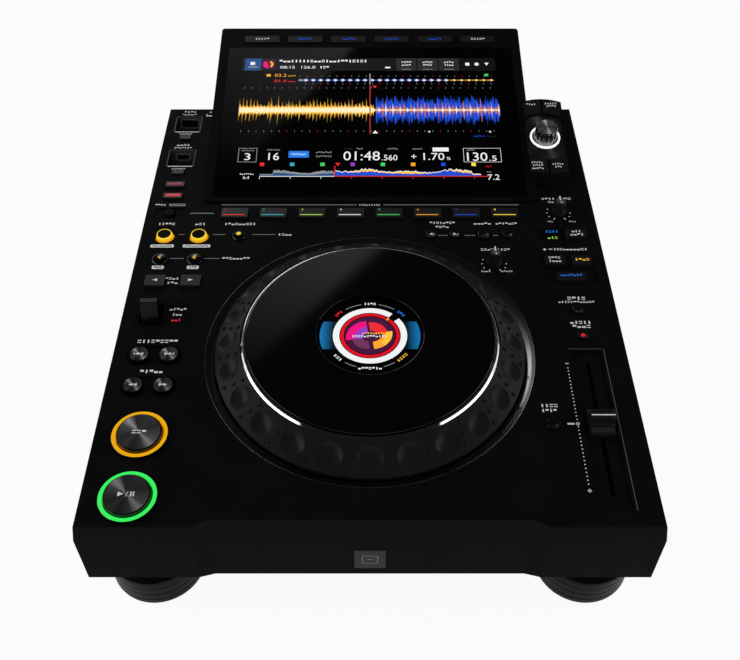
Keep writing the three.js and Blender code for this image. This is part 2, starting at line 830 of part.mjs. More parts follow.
// The power supply: its board, two wound parts and the mains inlet, which shows in the rear wall
function powerSupply() {
  const front = -supplyDepth / 2;
  const plate = block(0, 0, supplyWidth, supplyDepth, 0, boardThickness);
  const base = boardThickness / 2;
  const coils = [0, 1].map((i) => (
    block((i - 1 / 2) * supplyCoilWidth, front + supplyCoilWidth, supplyCoilWidth - 2 * clearance,
      supplyCoilWidth, base, boardThickness + supplyCoilHeight)));
  const mouth = supplyDepth / 2 + inletReach + chassisWall + inletProud;
  const axis = boardThickness + inletHeight / 2;
  const body = block(0, mouth - inletDepth / 2, inletWidth, inletDepth, axis - inletHeight / 2,
    axis + inletHeight / 2);
  const tongue = block(0, supplyDepth / 2, inletWidth, 2 * inletReach, base, boardThickness + inletWall);
  const inner = inletHeight / 2 - inletWall;
  const bore = block(0, mouth, inletWidth - 2 * inletWall, 2 * inletReach, axis - inner, axis + inner);
  return cut(join([plate, ...coils, body, tongue]), [bore]);
}
part('power_supply', powerSupply(), board, deck, supplyX, supplyRow, boardFloor);

// The rear socket board: three round jacks, a network socket and a computer socket
function socketBoard() {
  const rearEdge = socketBoardDepth / 2;
  const wallFace = rearEdge + socketBoardInset + chassisWall;
  const plate = block(0, 0, socketBoardWidth, socketBoardDepth, 0, boardThickness);
  const axis = boardThickness + socketAxisLift;
  const base = boardThickness / 2;
  const along = (x, radius, from, to) => (
    post(0, 0, radius, from, to, capSteps).rotate([-90, 0, 0]).translate([x - socketBoardX, 0, axis]));
  const jacks = jackXs.flatMap((x) => [
    along(x, jackRadius, wallFace - jackLength, wallFace + jackProud),
    block(x - socketBoardX, wallFace - jackLength + jackRadius, 2 * jackRadius, 2 * jackRadius, base, axis),
  ]);
  const jackBores = jackXs.map((x) => along(x, jackBoreRadius, wallFace, wallFace + jackProud + overrun));
  const mouth = wallFace + socketProud;
  const socket = (x, width, height, depth) => (
    block(x - socketBoardX, mouth - depth / 2, width, depth, axis - height / 2, axis + height / 2));
  const leg = (x, width) => (
    block(x - socketBoardX, rearEdge - width / 2, width, width, base, axis));
  const hollow = (x, width, height) => (
    block(x - socketBoardX, mouth, width, 2 * squareSocketReach, axis - height / 2, axis + height / 2));
  return cut(join([
    plate, ...jacks,
    socket(networkX, networkWidth, networkHeight, networkSocketDepth), leg(networkX, networkWidth),
    socket(computerX, computerSocketWidth, computerSocketHeight, networkSocketDepth),
    leg(computerX, computerSocketWidth),
  ]), [
    ...jackBores,
    hollow(networkX, networkBore, networkBoreHeight),
    hollow(computerX, computerSocketBore, computerSocketBore),
  ]);
}
part('socket_board', socketBoard(), board, deck, socketBoardX, socketBoardRow, boardFloor);

// Feet: a neck under the tray and a wide drum below it
function foot() {
  return turned([
    [0, -clearance],
    [footNeckRadius, -clearance],
    [footNeckRadius, -footNeckHeight],
    [footRadius, -footNeckHeight - footShoulder],
    [footRadius, -footHeight + footEdge],
    [footRadius - footEdge, -footHeight],
    [0, -footHeight],
  ], transportSteps);
}
const footX = bodyWidth / 2 - footSideInset;
for (const [end, row] of [['front', footFrontInset], ['rear', deckDepth - footRearInset]]) {
  part(`${end}_foot_left`, foot(), rubber, deck, -footX, row, -caseHeight);
  part(`${end}_foot_right`, foot(), rubber, deck, footX, row, -caseHeight);
}

// Jog wheel and what it turns on

function jogBase() {
  const inner = recessRadius - clearance;
  const bottom = -jogBaseFloor - jogBaseThickness;
  const bore = jogDisplayRadius + clearance;
  const rim = inner - jogBaseRim;
  return ring([
    [bore, bottom],
    [recessRadius + jogBaseFlange, bottom],
    [recessRadius + jogBaseFlange, -deckWall - clearance],
    [inner, -deckWall - clearance],
    [inner, 0],
    [rim, 0],
    [rim - jogBaseSlope, -jogBaseSlopeDrop],
    [rim - jogBaseSlope, -jogBaseFloor],
    [jogHubRadius, -jogBaseFloor],
    [jogHubRadius, jogHubTop],
    [bore, jogHubTop],
  ], wideSteps);
}
part('jog_base', jogBase(), gloss, deck, 0, jogRow);

// The round display in the middle stands still while the wheel turns round it.
function jogDisplay() {
  return turned([
    [0, -jogBaseFloor - jogBaseThickness],
    [jogDisplayRadius, -jogBaseFloor - jogBaseThickness],
    [jogDisplayRadius, jogDisplayTop - jogDisplayEdge],
    [jogDisplayRadius - jogDisplayEdge, jogDisplayTop],
    [0, jogDisplayTop],
  ], wideSteps);
}
part('jog_display', jogDisplay(), gloss, deck, 0, jogRow);

// The skirt falls from the shoulder to the outer edge, with a ring of finger dimples half way.
function jogWheel() {
  const skirt = ring([
    [jogHubRadius + clearance, -jogUndersideDrop],
    [jogSkirtRadius - jogSkirtChamfer, -jogUndersideDrop],
    [jogSkirtRadius, jogSkirtChamfer - jogUndersideDrop],
    [jogSkirtRadius, jogSkirtHeight],
    [jogShoulderRadius, jogShoulderHeight],
    [jogShoulderRadius, jogSeatHeight],
    [jogHubRadius + clearance, jogSeatHeight],
  ], wideSteps);
  const run = jogSkirtRadius - jogShoulderRadius;
  const drop = jogShoulderHeight - jogSkirtHeight;
  const lean = THREE.MathUtils.radToDeg(Math.atan2(drop, run));
  const dish = turned([
    [0, dimpleLip], [dimpleRadius, dimpleLip], [dimpleRadius, 0],
    [dimpleRadius * dimpleWaistShare, -dimpleDepth * dimpleWaistShare], [0, -dimpleDepth],
  ], smallSteps).rotate([0, lean, 0]).translate([
    (jogSkirtRadius + jogShoulderRadius) / 2, 0, (jogSkirtHeight + jogShoulderHeight) / 2]);
  const dimples = Array.from({ length: dimpleCount }, (_, i) => dish.rotate([0, 0, 360 * i / dimpleCount]));
  return cut(skirt, dimples);
}
part('jog_wheel', jogWheel(), keyBlack, deck, 0, jogRow);

const jogSeat = jogSeatHeight + clearance;
part('jog_trim_ring', ring([
  [trimInnerRadius, jogSeat],
  [jogSeatRadius, jogSeat],
  [jogSeatRadius, trimRingTop - trimRingEdge],
  [jogSeatRadius - trimRingEdge, trimRingTop],
  [trimInnerRadius, trimRingTop],
], wideSteps), chrome, deck, 0, jogRow);

part('jog_disc', ring([
  [jogDiscBore, jogSeat],
  [jogDiscRadius, jogSeat],
  [jogDiscRadius, jogDiscTop - jogDiscEdge],
  [jogDiscRadius - jogDiscEdge, jogDiscTop],
  [jogDiscBore + jogDiscEdge, jogDiscTop],
  [jogDiscBore, jogDiscTop - jogDiscEdge],
], wideSteps), gloss, deck, 0, jogRow);

// Caps, keys and light rings on the deck

function lightRing(inner, outer, rise) {
  const edge = (outer - inner) / 4;
  return ring([
    [inner, -deckWall], [outer, -deckWall], [outer, rise - edge], [outer - edge, rise],
    [inner + edge, rise], [inner, rise - edge],
  ], transportSteps);
}
const glows = [['cue_light_ring', cueRow, orange], ['play_light_ring', playRow, green]];
for (const [name, row, finish] of glows) {
  const glow = lightRing(transportRingInner, transportRingOuter, transportRingRise);
  part(name, glow, finish, deck, transportX, row);
}

for (const entry of transportCaps) {
  part(entry.name, capSolid(entry, transportSteps), brushed, deck, entry.x, entry.y);
}
for (const entry of searchCaps) part(entry.name, capSolid(entry, capSteps), brushed, deck, entry.x, entry.y);
for (const entry of loopCaps) part(entry.name, capSolid(entry, capSteps), orange, deck, entry.x, entry.y);
for (const entry of [callCap]) part(entry.name, capSolid(entry, capSteps), keyBlack, deck, entry.x, entry.y);
for (const entry of [reloopCap]) part(entry.name, domeSolid(entry, capSteps), gloss, deck, entry.x, entry.y);
for (const entry of pads) part(entry.name, keySolid(entry), keyBlack, deck, entry.x, entry.y);

part('beat_loop_buttons', join([
  ...beatLoopCaps.map((entry) => moved(domeSolid(entry, capSteps), entry)),
  web(outerX, beatLoopRow - webWidth / 2, loopX, beatLoopRow + webWidth / 2),
]), gloss, deck);

part('beat_jump_keys', join([
  ...jumpKeys.map((entry) => moved(keySolid(entry), entry)),
  web(outerX, jumpRow - webWidth / 2, loopX, jumpRow + webWidth / 2),
]), keyBlack, deck);

// The stop keys and the red keys share a strip that runs beside the storage sockets.
function mediaKeySet() {
  const spine = outerX + portWidth / 2 + 2 * clearance;
  const arms = mediaKeys.map(({ y }) => (
    web(outerX, y - stopKeyDepth / 2, spine + webWidth / 2, y + stopKeyDepth / 2)));
  return join([
    ...mediaKeys.map((entry) => moved(keySolid(entry), entry)),
    ...arms,
    web(spine, redRow - stopKeyDepth / 2, spine + webWidth, secondStopRow + stopKeyDepth / 2),
  ]);
}
part('media_keys', mediaKeySet(), red, deck);

part('memory_buttons', join([
  ...memoryCaps.map((entry) => moved(capSolid(entry, smallSteps), entry)),
  web(callX, callRow - webWidth / 2, memoryX, callRow + webWidth / 2),
]), keyBlack, deck);

part('sync_keys', join([
  ...syncKeys.map((entry) => moved(keySolid(entry), entry)),
  web(syncLeftX, keySyncRow, syncRightX, syncRow),
  web(syncRightX - webWidth / 2, syncRow, syncRightX + webWidth / 2, modeRow),
]), keyBlack, deck);

// The tempo buttons share a strip that runs between the jog wheel and the fader.
function tempoButtonSet() {
  const left = tempoX - faderOpeningWidth / 2 - faderLip - 2 * clearance - webWidth;
  return join([
    ...tempoCaps.map((entry) => moved(capSolid(entry, smallSteps), entry)),
    web(tempoX - webWidth / 2, masterTempoRow, tempoX + webWidth / 2, rangeRow),
    web(left, masterTempoRow - webWidth / 2, tempoX, masterTempoRow + webWidth / 2),
    web(left, faderRow - webWidth / 2, left + webWidth, masterTempoRow),
    web(resetX, faderRow - webWidth / 2, left + webWidth, faderRow + webWidth / 2),
  ]);
}
part('tempo_buttons', tempoButtonSet(), keyBlack, deck);

// Dials: a skirt, a body that narrows upwards, a pointer on top and a stem through the deck
function dial() {
  const top = dialRadius * dialTopShare;
  const body = turned([
    [0, dialHeight], [top, dialHeight], [top + capEdge, dialHeight - capEdge],
    [dialRadius, dialSkirtRise], [dialRadius, dialLift], [dialStemRadius, dialLift],
    [dialStemRadius, -dialStemDrop], [0, -dialStemDrop],
  ], capSteps);
  const pointer = block(0, dialPointerLength / 2, dialPointerWidth, dialPointerLength,
    dialSkirtRise, dialHeight + dialPointerRise);
  return join([body, pointer]);
}
part('speed_knob', dial(), keyBlack, deck, tempoX, speedRow);
part('feel_knob', dial(), keyBlack, deck, feelX, feelRow);

// Direction lever: a paddle on a pin, in a bezel with a label window beside it
const leverPitX = leverPitInset + leverPitWidth / 2 - leverBezelWidth / 2;
const leverWindowX = leverBezelWidth / 2 - leverPitInset - leverWindowWidth / 2;
const leverSpan = leverPitWidth + 2 * leverSlotWidth;

function leverBezel() {
  const slack = 2 * clearance;
  const plate = block(0, 0, leverBezelWidth - slack, leverBezelDepth - slack, -leverBezelDrop, 0);
  const pit = block(leverPitX, 0, leverPitWidth, leverPitDepth, -leverBezelDrop - overrun, overrun);
  const sunk = block(leverWindowX, 0, leverWindowWidth, leverWindowDepth, -leverWindowSink, overrun);
  const bore = post(0, 0, leverAxleRadius + clearance, -leverSpan / 2, leverSpan / 2, smallSteps)
    .rotate([0, 90, 0]).translate([leverPitX, 0, -leverAxleDrop]);
  return cut(plate, [pit, sunk, bore]);
}
part('lever_bezel', leverBezel(), gloss, deck, leverX, leverRow);

function directionLever() {
  const half = leverThickness / 2;
  const foot = -leverAxleDrop - leverTail;
  const paddle = across([
    [-half, foot], [-half, -leverAxleDrop], [-half / 2 - leverTopRun, leverRise],
    [half / 2, leverRise], [half, leverRise - leverTopRun], [half, foot],
  ], 0, leverWidth);
  const pinReach = leverSpan / 2 - clearance;
  const pin = post(0, 0, leverAxleRadius, -pinReach, pinReach, smallSteps)
    .rotate([0, 90, 0]).translate([0, 0, -leverAxleDrop]);
  return join([paddle, pin]);
}
part('direction_lever', directionLever(), keyBlack, deck, leverX + leverPitX, leverRow);

// Tempo fader: a sunk plate with a slot, the cap on its stem, and the track that the stem slides in
const faderLipTop = -deckWall - clearance;
const faderLipBottom = faderLipTop - faderLipThickness;
const trackTop = faderLipBottom - clearance;

function faderPlate() {
  const slack = 2 * clearance;
  const panel = block(0, 0, faderOpeningWidth - slack, faderOpeningLength - slack,
    faderLipBottom, -faderSink);
  const lip = block(0, 0, faderOpeningWidth + 2 * faderLip, faderOpeningLength + 2 * faderLip,
    faderLipBottom, faderLipTop);
  const slot = block(0, 0, faderSlotWidth, faderSlotLength, faderLipBottom - overrun, overrun);
  return cut(join([panel, lip]), [slot]);
}
part('fader_plate', faderPlate(), caseBlack, deck, tempoX, faderRow);

function faderTrack() {
  const length = faderSlotLength + 2 * faderTrackEnd;
  const body = block(0, 0, faderTrackWidth, length, trackTop - faderTrackHeight, trackTop);
  const groove = block(0, 0, faderSlotWidth, faderSlotLength,
    trackTop - faderTrackHeight + faderTrackFloor, trackTop + overrun);
  return cut(body, [groove]);
}
part('fader_track', faderTrack(), steel, deck, tempoX, faderRow);

// The cap's side outline: two slopes up to a ridge across the middle, in shares of its length and height
const faderCapShares = [
  [-0.5, 0], [-0.5, 0.42], [-0.3, 0.52], [-0.13, 1], [0.13, 1], [0.3, 0.52], [0.5, 0.42], [0.5, 0],
];
function tempoFader() {
  const base = clearance - faderSink;
  const height = faderCapRise - base;
  const outline = faderCapShares.map(([y, z]) => [y * faderCapLength, base + z * height]);
  const stem = block(0, 0, faderStemWidth, faderStemLength, -faderStemDrop, 0);
  return join([across(outline, 0, faderCapWidth), stem]);
}
part('tempo_fader', tempoFader(), keyBlack, deck, tempoX, faderRow);

// Storage sockets: two pockets on one bridge, each with a steep face that holds the socket
function portPocket(slotWidth, slotHeight) {
  const slack = 2 * clearance;
  const inner = portDepth / 2 - portWall;
  const body = block(0, 0, portWidth - slack, portDepth - slack, -portDrop, 0);
  const hollow = across([
    [-inner, overrun], [-inner, -portFrontDrop], [portSlopeFoot, -portDeepest],
    [portSlopeTop, 0], [portSlopeTop, overrun],
  ], 0, portWidth - 2 * portWall);
  const lean = Math.atan2(portSlopeTop - portSlopeFoot, portDeepest);
  const slot = prism(roundRect(slotWidth, slotHeight, slotRadius), -slotReach, slotReach)
    .rotate([90 - THREE.MathUtils.radToDeg(lean), 0, 0])
    .translate([0, (portSlopeTop + portSlopeFoot) / 2, -portDeepest / 2]);
  return cut(body, [hollow, slot]);
}
function storageSockets() {
  const step = secondPortRow - portRow;
  const rear = portPocket(wideSlotWidth, wideSlotHeight).translate([0, step, 0]);
  const front = portPocket(narrowSlotWidth, narrowSlotHeight);
  const bridge = block(0, step / 2, portBridgeWidth, step, -portDrop, -portDrop + portBridgeThickness);
  return join([rear, front, bridge]);
}
part('storage_sockets', storageSockets(), keyBlack, deck, outerX, portRow);

// Display: a hollow wedge on the deck, a bezel on its slope, the glass, the panel and the key strip

const slopeRise = Math.sin(displayTilt);
const slopeRun = Math.cos(displayTilt);
const tiltDegrees = THREE.MathUtils.radToDeg(displayTilt);
const housingTop = -frameThickness - clearance;
const slopeHeight = (along, lift) => displayLip + along * slopeRise + lift * slopeRun;
const slopeRow = (along, lift) => displayFront + along * slopeRun - lift * slopeRise;

// The selector's footprint: a circle cut by two straight sides, wider all round by a given amount
function selectorOutline(grow) {
  const reach = selectorReach + grow;
  const span = Math.asin((selectorHalfWidth + grow) / reach);
  const arc = (middle) => Array.from({ length: arcSteps + 1 }, (_, i) => {
    const angle = middle + span * (2 * i / arcSteps - 1);
    return new THREE.Vector2(reach * Math.cos(angle), reach * Math.sin(angle));
  });
  return [...arc(Math.PI / 2), ...arc(-Math.PI / 2)];
}
function selectorNotch() {
  return prism(selectorOutline(clearance), 0, displayReach).translate([selectorX, selectorRow, 0]);
}

function displayHousing() {
  const rearRow = displayFront + displayReach;
  const rearTop = slopeHeight(displayDepth, housingTop);
  const rearBottom = slopeHeight(displayDepth, 0) - displayRearHeight;
  const body = across([
    [slopeRow(housingSetback, housingTop), clearance],
    [deckDepth, clearance],
    [rearRow, rearBottom],
    [rearRow, rearTop],
    [slopeRow(housingSetback, housingTop), slopeHeight(housingSetback, housingTop)],
  ], 0, displayWidth);
  const hollowFront = slopeRow(panelFrontInset - clearance, housingTop);
  const hollowRear = rearRow - housingRearWall;
  const underSlope = (rearBottom - clearance) / (rearRow - deckDepth);
  const shelf = (row) => clearance + (row - deckDepth) * underSlope + displayWall;
  const hollow = across([
    [hollowFront, -overrun],
    [deckDepth - displayWall, -overrun],
    [deckDepth - displayWall, shelf(deckDepth)],
    [hollowRear, shelf(hollowRear)],
    [hollowRear, displayReach],
    [hollowFront, displayReach],
  ], 0, displayWidth - 2 * housingSideWall);
  return cut(body, [hollow, selectorNotch()]);
}
part('display_housing', displayHousing(), caseBlack, deck);

const menuMiddle = (menuKeyCount - 1) / 2;
const menuKeyXs = Array.from({ length: menuKeyCount }, (_, i) => menuKeyPitch * (i - menuMiddle));
const menuKeyAlong = displayDepth - menuKeyRearInset;

function displayFrame() {
  const outline = roundRect(displayWidth, displayDepth, frameCorner);
  const plate = prism(outline, -frameThickness, 0).translate([0, displayDepth / 2, 0]);
  const slack = 2 * clearance;
  const opening = block(0, frameFront + glassDepth / 2, glassWidth + slack, glassDepth + slack,
    -overrun, overrun);
  const keySlots = menuKeyXs.map((x) => (
    block(x, menuKeyAlong, menuKeyWidth + slack, menuKeyDepth + slack, -overrun, overrun)));
  const notch = selectorNotch().translate([0, -displayFront, -displayLip]).rotate([-tiltDegrees, 0, 0]);
  return cut(plate, [opening, ...keySlots, notch]);
}
part('display_frame', displayFrame(), caseBlack, display);

part('display_glass', block(0, 0, glassWidth, glassDepth, -glassThickness - glassSink, -glassSink),
  gloss, display, 0, frameFront + glassDepth / 2);

const panelTop = -glassThickness - glassSink - clearance;
part('display_panel', block(0, 0, panelWidth, panelDepth, panelTop - panelThickness, panelTop),
  screen, display, 0, panelFrontInset + panelDepth / 2);

function menuKeys() {
  const webHigh = housingTop;
  const webLow = webHigh - menuWebThickness;
  const keys = menuKeyXs.map((x) => block(x, 0, menuKeyWidth, menuKeyDepth, webLow, menuKeyRise));
  const strip = block(0, 0, menuKeyPitch * (menuKeyCount - 1) + menuKeyWidth + 2 * menuWebMargin,
    menuKeyDepth + 2 * menuWebMargin, webLow, webHigh);
  return join([...keys, strip]);
}
part('menu_keys', menuKeys(), keyBlack, display, 0, menuKeyAlong);

// Selector: a tower beside the display with a round plate, a light ring, four corner keys and a push knob

const plateTop = -selectorPlateDrop;
const plateBottom = plateTop - selectorPlateThickness;
const roof = plateBottom - clearance;
const roofUnderside = roof - selectorTopWall;

// One corner key, wider all round by a given amount: between the plate's circle and the tower's outline
function selectorKeyOutline(grow) {
  const outer = selectorReach - selectorWall + grow;
  const half = selectorHalfWidth - selectorWall + grow;
  const inner = selectorPlateRadius + selectorWall - grow;
  const split = selectorKeySplit / 2 + clearance - grow;
  const sweep = (radius, from, to) => Array.from({ length: cornerSteps + 1 }, (_, i) => {
    const x = from + (to - from) * i / cornerSteps;
    return new THREE.Vector2(x, Math.sqrt(radius ** 2 - x ** 2));
  });
  return [...sweep(inner, split, half), ...sweep(outer, half, split)];
}
const mirrored = (outline, sx, sy) => outline.map(({ x, y }) => new THREE.Vector2(sx * x, sy * y));
const quarters = [[1, 1], [-1, 1], [-1, -1], [1, -1]];

function selectorHousing() {
  const level = (body) => body.rotate([-tiltDegrees, 0, 0]);
  const floor = clearance - selectorTopHeight;
  const size = 4 * selectorReach;
  const above = (height) => block(0, 0, size, size, height, height + size);
  const shell = level(prism(selectorOutline(0), floor, selectorReach)).subtract(above(-selectorRimDrop));
  const hollow = level(prism(selectorOutline(-selectorWall), floor - overrun, selectorReach));
  const inside = hollow.subtract(above(roofUnderside));
  const seat = post(0, 0, selectorPlateRadius + clearance, roof, overrun, transportSteps);
  const shaftHole = post(0, 0, selectorShaftRadius + clearance, -selectorShaftDrop, overrun, smallSteps);
  const keyHoles = quarters.map(([sx, sy]) => (
    prism(mirrored(selectorKeyOutline(clearance), sx, sy), roofUnderside - overrun, overrun)));
  return cut(shell, [inside, seat, shaftHole, ...keyHoles]);
}
part('selector_housing', selectorHousing(), caseBlack, selector);

function selectorPlate() {
  const disc = post(0, 0, selectorPlateRadius, plateBottom, plateTop, transportSteps);
  const side = selectorHalfWidth - selectorWall;
  const strip = block(0, 0, 2 * side, 2 * selectorReach, plateBottom - overrun, overrun);
  const hole = post(0, 0, lightRingRadius + clearance, plateBottom - overrun, overrun, transportSteps);
  return disc.intersect(strip).subtract(hole);
}
part('selector_plate', selectorPlate(), brushed, selector);

const glowTop = plateTop + lightRingRise;
part('selector_light_ring', ring([
  [lightRingRadius - lightRingWidth, plateBottom], [lightRingRadius, plateBottom],
  [lightRingRadius, glowTop], [lightRingRadius - lightRingWidth, glowTop],
], transportSteps), pale, selector);

// The four corner keys pass through the roof and share a ring-shaped web under it.
function selectorKeys() {
  const webHigh = roofUnderside - clearance;
  const webLow = webHigh - selectorWebThickness;
  const legs = quarters.map(([sx, sy]) => prism(mirrored(selectorKeyOutline(0), sx, sy), webLow, 0));
  const reach = selectorReach - 2 * selectorWall;
  const sheet = post(0, 0, reach, webLow, webHigh, transportSteps);
  const side = selectorHalfWidth - selectorWall - 2 * clearance;
  const strip = block(0, 0, 2 * side, 2 * reach, webLow - overrun, overrun);
  const hole = post(0, 0, selectorWebInner, webLow - overrun, overrun, capSteps);
  return join([...legs, sheet.intersect(strip).subtract(hole)]);
}
part('selector_keys', selectorKeys(), keyBlack, selector);

// The knob turns on the shaft, and both go down together when it is pressed.
const knobFoot = plateTop + selectorKnobLift;
const knobTop = knobFoot + selectorKnobHeight;
const gripTop = knobFoot + selectorShaftGrip;

function selectorKnob() {
  const fluted = Array.from({ length: 4 * selectorKnobFlutes }, (_, i) => {
    const angle = 2 * Math.PI * i / (4 * selectorKnobFlutes);
    const flute = (1 - Math.cos(selectorKnobFlutes * angle)) / 2;
    const radius = selectorKnobRadius - selectorKnobFluteDepth * flute;
    return new THREE.Vector2(radius * Math.cos(angle), radius * Math.sin(angle));
  });
  const crown = turned([
    [0, knobTop], [selectorKnobRadius - selectorKnobSlope, knobTop],
    [selectorKnobRadius, knobTop - selectorKnobSlope],
    [selectorKnobRadius + selectorKnobFluteDepth, knobFoot], [0, knobFoot],
  ], transportSteps);
  const bore = post(0, 0, selectorShaftRadius + clearance, knobFoot - overrun, gripTop + clearance,
    smallSteps);
  return prism(fluted, knobFoot, knobTop).intersect(crown).subtract(bore);
}
part('selector_knob', selectorKnob(), brushed, selector);

const selectorShaft = post(0, 0, selectorShaftRadius, -selectorShaftDrop, gripTop, smallSteps);
part('selector_shaft', selectorShaft, steel, selector);

export default player;
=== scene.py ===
"""Dresses the tabletop music player: fine shapes, finishes, lit keys, display content, studio and camera."""
import json
import math
import random

import bmesh
import bpy
from mathutils import Matrix, Vector
from mathutils.geometry import delaunay_2d_cdt


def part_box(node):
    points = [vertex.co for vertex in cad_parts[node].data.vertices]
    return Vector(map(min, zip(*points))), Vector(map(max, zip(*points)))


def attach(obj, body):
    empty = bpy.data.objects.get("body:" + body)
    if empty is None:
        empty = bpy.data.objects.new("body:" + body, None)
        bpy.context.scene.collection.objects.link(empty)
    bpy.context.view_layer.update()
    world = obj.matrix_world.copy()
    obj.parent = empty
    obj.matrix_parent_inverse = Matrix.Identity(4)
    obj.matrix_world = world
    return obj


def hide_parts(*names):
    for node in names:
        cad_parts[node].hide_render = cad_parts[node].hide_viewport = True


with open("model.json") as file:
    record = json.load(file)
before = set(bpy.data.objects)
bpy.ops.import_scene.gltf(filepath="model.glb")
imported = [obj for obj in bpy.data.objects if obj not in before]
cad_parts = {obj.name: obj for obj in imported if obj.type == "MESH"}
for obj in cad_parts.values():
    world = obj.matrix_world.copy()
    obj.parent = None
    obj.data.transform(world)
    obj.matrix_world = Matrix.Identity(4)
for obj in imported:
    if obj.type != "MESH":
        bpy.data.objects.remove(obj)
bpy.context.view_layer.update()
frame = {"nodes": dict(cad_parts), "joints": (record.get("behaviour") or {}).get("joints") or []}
nodes = frame["nodes"]
joints = {joint["name"]: joint for joint in frame["joints"]}

# Measures are in millimetres, apart from those of the studio and of relief in the finishes, which are in
# metres. Places of nodes and joints come from the frame. Marks and the sizes of solids are written out here.
MM = 0.001
INK = 0.05
BEVEL_RUN = 4.9
FRAME_THICKNESS = 1.25
SMOOTH_ANGLE = math.radians(32)


class Plane:
    """A flat work surface: places on it are given in millimetres across, along and above it."""

    def __init__(self, origin, along=(0, 1, 0)):
        self.origin = Vector(origin)
        self.across = Vector((1, 0, 0))
        self.along = Vector(along).normalized()
        self.up = self.across.cross(self.along)

    def at(self, x, y, z=0):
        return self.origin + MM * (x * self.across + y * self.along + z * self.up)

    def local(self, point):
        away = (Vector(point) - self.origin) / MM
        return Vector((away.dot(self.across), away.dot(self.along), away.dot(self.up)))

    def moved(self, x, y, z=0):
        return Plane(self.at(x, y, z), self.along)


def middle(node):
    low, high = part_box(node)
    return (low + high) / 2


cover_low, cover_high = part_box("top_cover")
deck = Plane((0, cover_low.y + BEVEL_RUN * MM, cover_high.z))
tilted = -Vector(joints["menu_press"]["axis"])
slope_along = Vector((0, tilted.z, -tilted.y))
frame_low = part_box("display_frame")[0]
slope = Plane((0, frame_low.y, frame_low.z + FRAME_THICKNESS * MM * tilted.z), slope_along)
selector = Plane(joints["selector_turn"]["pos_m"], slope_along)
jog_axis = deck.local(joints["jog_spin"]["pos_m"])
jog = deck.moved(jog_axis.x, jog_axis.y)
foot_plane = Plane((0, 0, 0))


def on_deck(node):
    """The middle of a node, in the deck's millimetres."""
    return deck.local(middle(node))


class Form:
    """Points and faces gathered on a plane, in millimetres, until they become one piece."""

    def __init__(self, plane):
        self.plane = plane
        self.points = []
        self.faces = []

    def add(self, points, faces):
        base = len(self.points)
        self.points += [self.plane.at(*point) for point in points]
        self.faces += [[base + i for i in face] for face in faces]

    def stack(self, rings):
        """Outlines of equal count, from the lowest to the highest, skinned and closed at both ends."""
        count = len(rings[0])
        points = [point for ring in rings for point in ring]
        faces = [list(range(count))[::-1]]
        for level in range(len(rings) - 1):
            start = level * count
            for i in range(count):
                a, b = start + i, start + (i + 1) % count
                faces.append([a, b, b + count, a + count])
        faces.append([(len(rings) - 1) * count + i for i in range(count)])
        self.add(points, faces)

    def prism(self, outline, low, high):
        self.stack([[(x, y, z) for x, y in outline] for z in (low, high)])

    def box(self, x, y, width, depth, low, high):
        self.prism(rectangle(x, y, width, depth), low, high)

    def turn(self, profile, steps, x=0, y=0, closed=False):
        """A profile of radius and height, turned about an upright axis at x, y."""
        count = len(profile)
        points = []
        for i in range(steps):
            angle = 2 * math.pi * i / steps
            points += [(x + r * math.cos(angle), y + r * math.sin(angle), z) for r, z in profile]
        last = count if closed else count - 1
        faces = []
        for i in range(steps):
            here, beyond = i * count, (i + 1) % steps * count
            for j in range(last):
                k = (j + 1) % count
                faces.append([here + j, beyond + j, beyond + k, here + k])
        self.add(points, faces)

    def arc(self, inner, outer, start, end, low, high, steps=24, x=0, y=0):
        """A flat ring stretch between two angles in degrees, counted from the rear towards the right."""
        rings = []
        for z in (low, high):
            rim = []
            for radius, turns in ((inner, range(steps, -1, -1)), (outer, range(steps + 1))):
                for i in turns:
                    angle = math.radians(start + (end - start) * i / steps)
                    rim.append((x + radius * math.sin(angle), y + radius * math.cos(angle), z))
            rings.append(rim[::-1])
        self.stack(rings)

    def ribbon(self, xs, lows, highs, low, high):
        """A thin sheet between two curves along X."""
        outline = list(zip(xs, lows)) + list(zip(xs[::-1], highs[::-1]))
        count = len(xs)
        points = [(x, y, z) for z in (low, high) for x, y in outline]
        total = 2 * count
        faces = []
        for i in range(count - 1):
            a, b, c, d = i, i + 1, total - 2 - i, total - 1 - i
            faces += [[d, c, b, a], [a + total, b + total, c + total, d + total]]
        for i in range(total):
            j = (i + 1) % total
            faces.append([i, j, j + total, i + total])
        self.add(points, faces)

    def frame(self, outer, inner, low, high):
        """A flat frame between two outlines of equal count."""
        count = len(outer)
        points = [(x, y, z) for z in (low, high) for x, y in outer + inner]
        faces = []
        for i in range(count):
            j = (i + 1) % count
            a, b, c, d = i, j, count + j, count + i
            top = 2 * count
            faces += [[d, c, b, a], [a + top, b + top, c + top, d + top], [a, b, b + top, a + top],
                      [c, d, d + top, c + top]]
        self.add(points, faces)

    def text(self, words, x, y, height, low, high, width=None):
        """Plain digits, centred on x, y, drawn with the built-in font and fitted to a height and width."""
        curve = bpy.data.curves.new("digits", "FONT")
        curve.body = words
        curve.extrude = 1
        curve.resolution_u = 3
        holder = bpy.data.objects.new("digits", curve)
        bpy.context.scene.collection.objects.link(holder)
        seen = holder.evaluated_get(bpy.context.evaluated_depsgraph_get())
        mesh = bpy.data.meshes.new_from_object(seen)
        places = [vertex.co for vertex in mesh.vertices]
        left, right = min(p.x for p in places), max(p.x for p in places)
        bottom, top = min(p.y for p in places), max(p.y for p in places)
        scale = height / (top - bottom)
        stretch = width / (right - left) if width else scale
        points = []
        for p in places:
            across = (p.x - (left + right) / 2) * stretch
            points.append((x + across, y + (p.y - (bottom + top) / 2) * scale, high if p.z > 0 else low))
        self.add(points, [list(face.vertices) for face in mesh.polygons])
        bpy.data.objects.remove(holder)
        bpy.data.meshes.remove(mesh)
        bpy.data.curves.remove(curve)


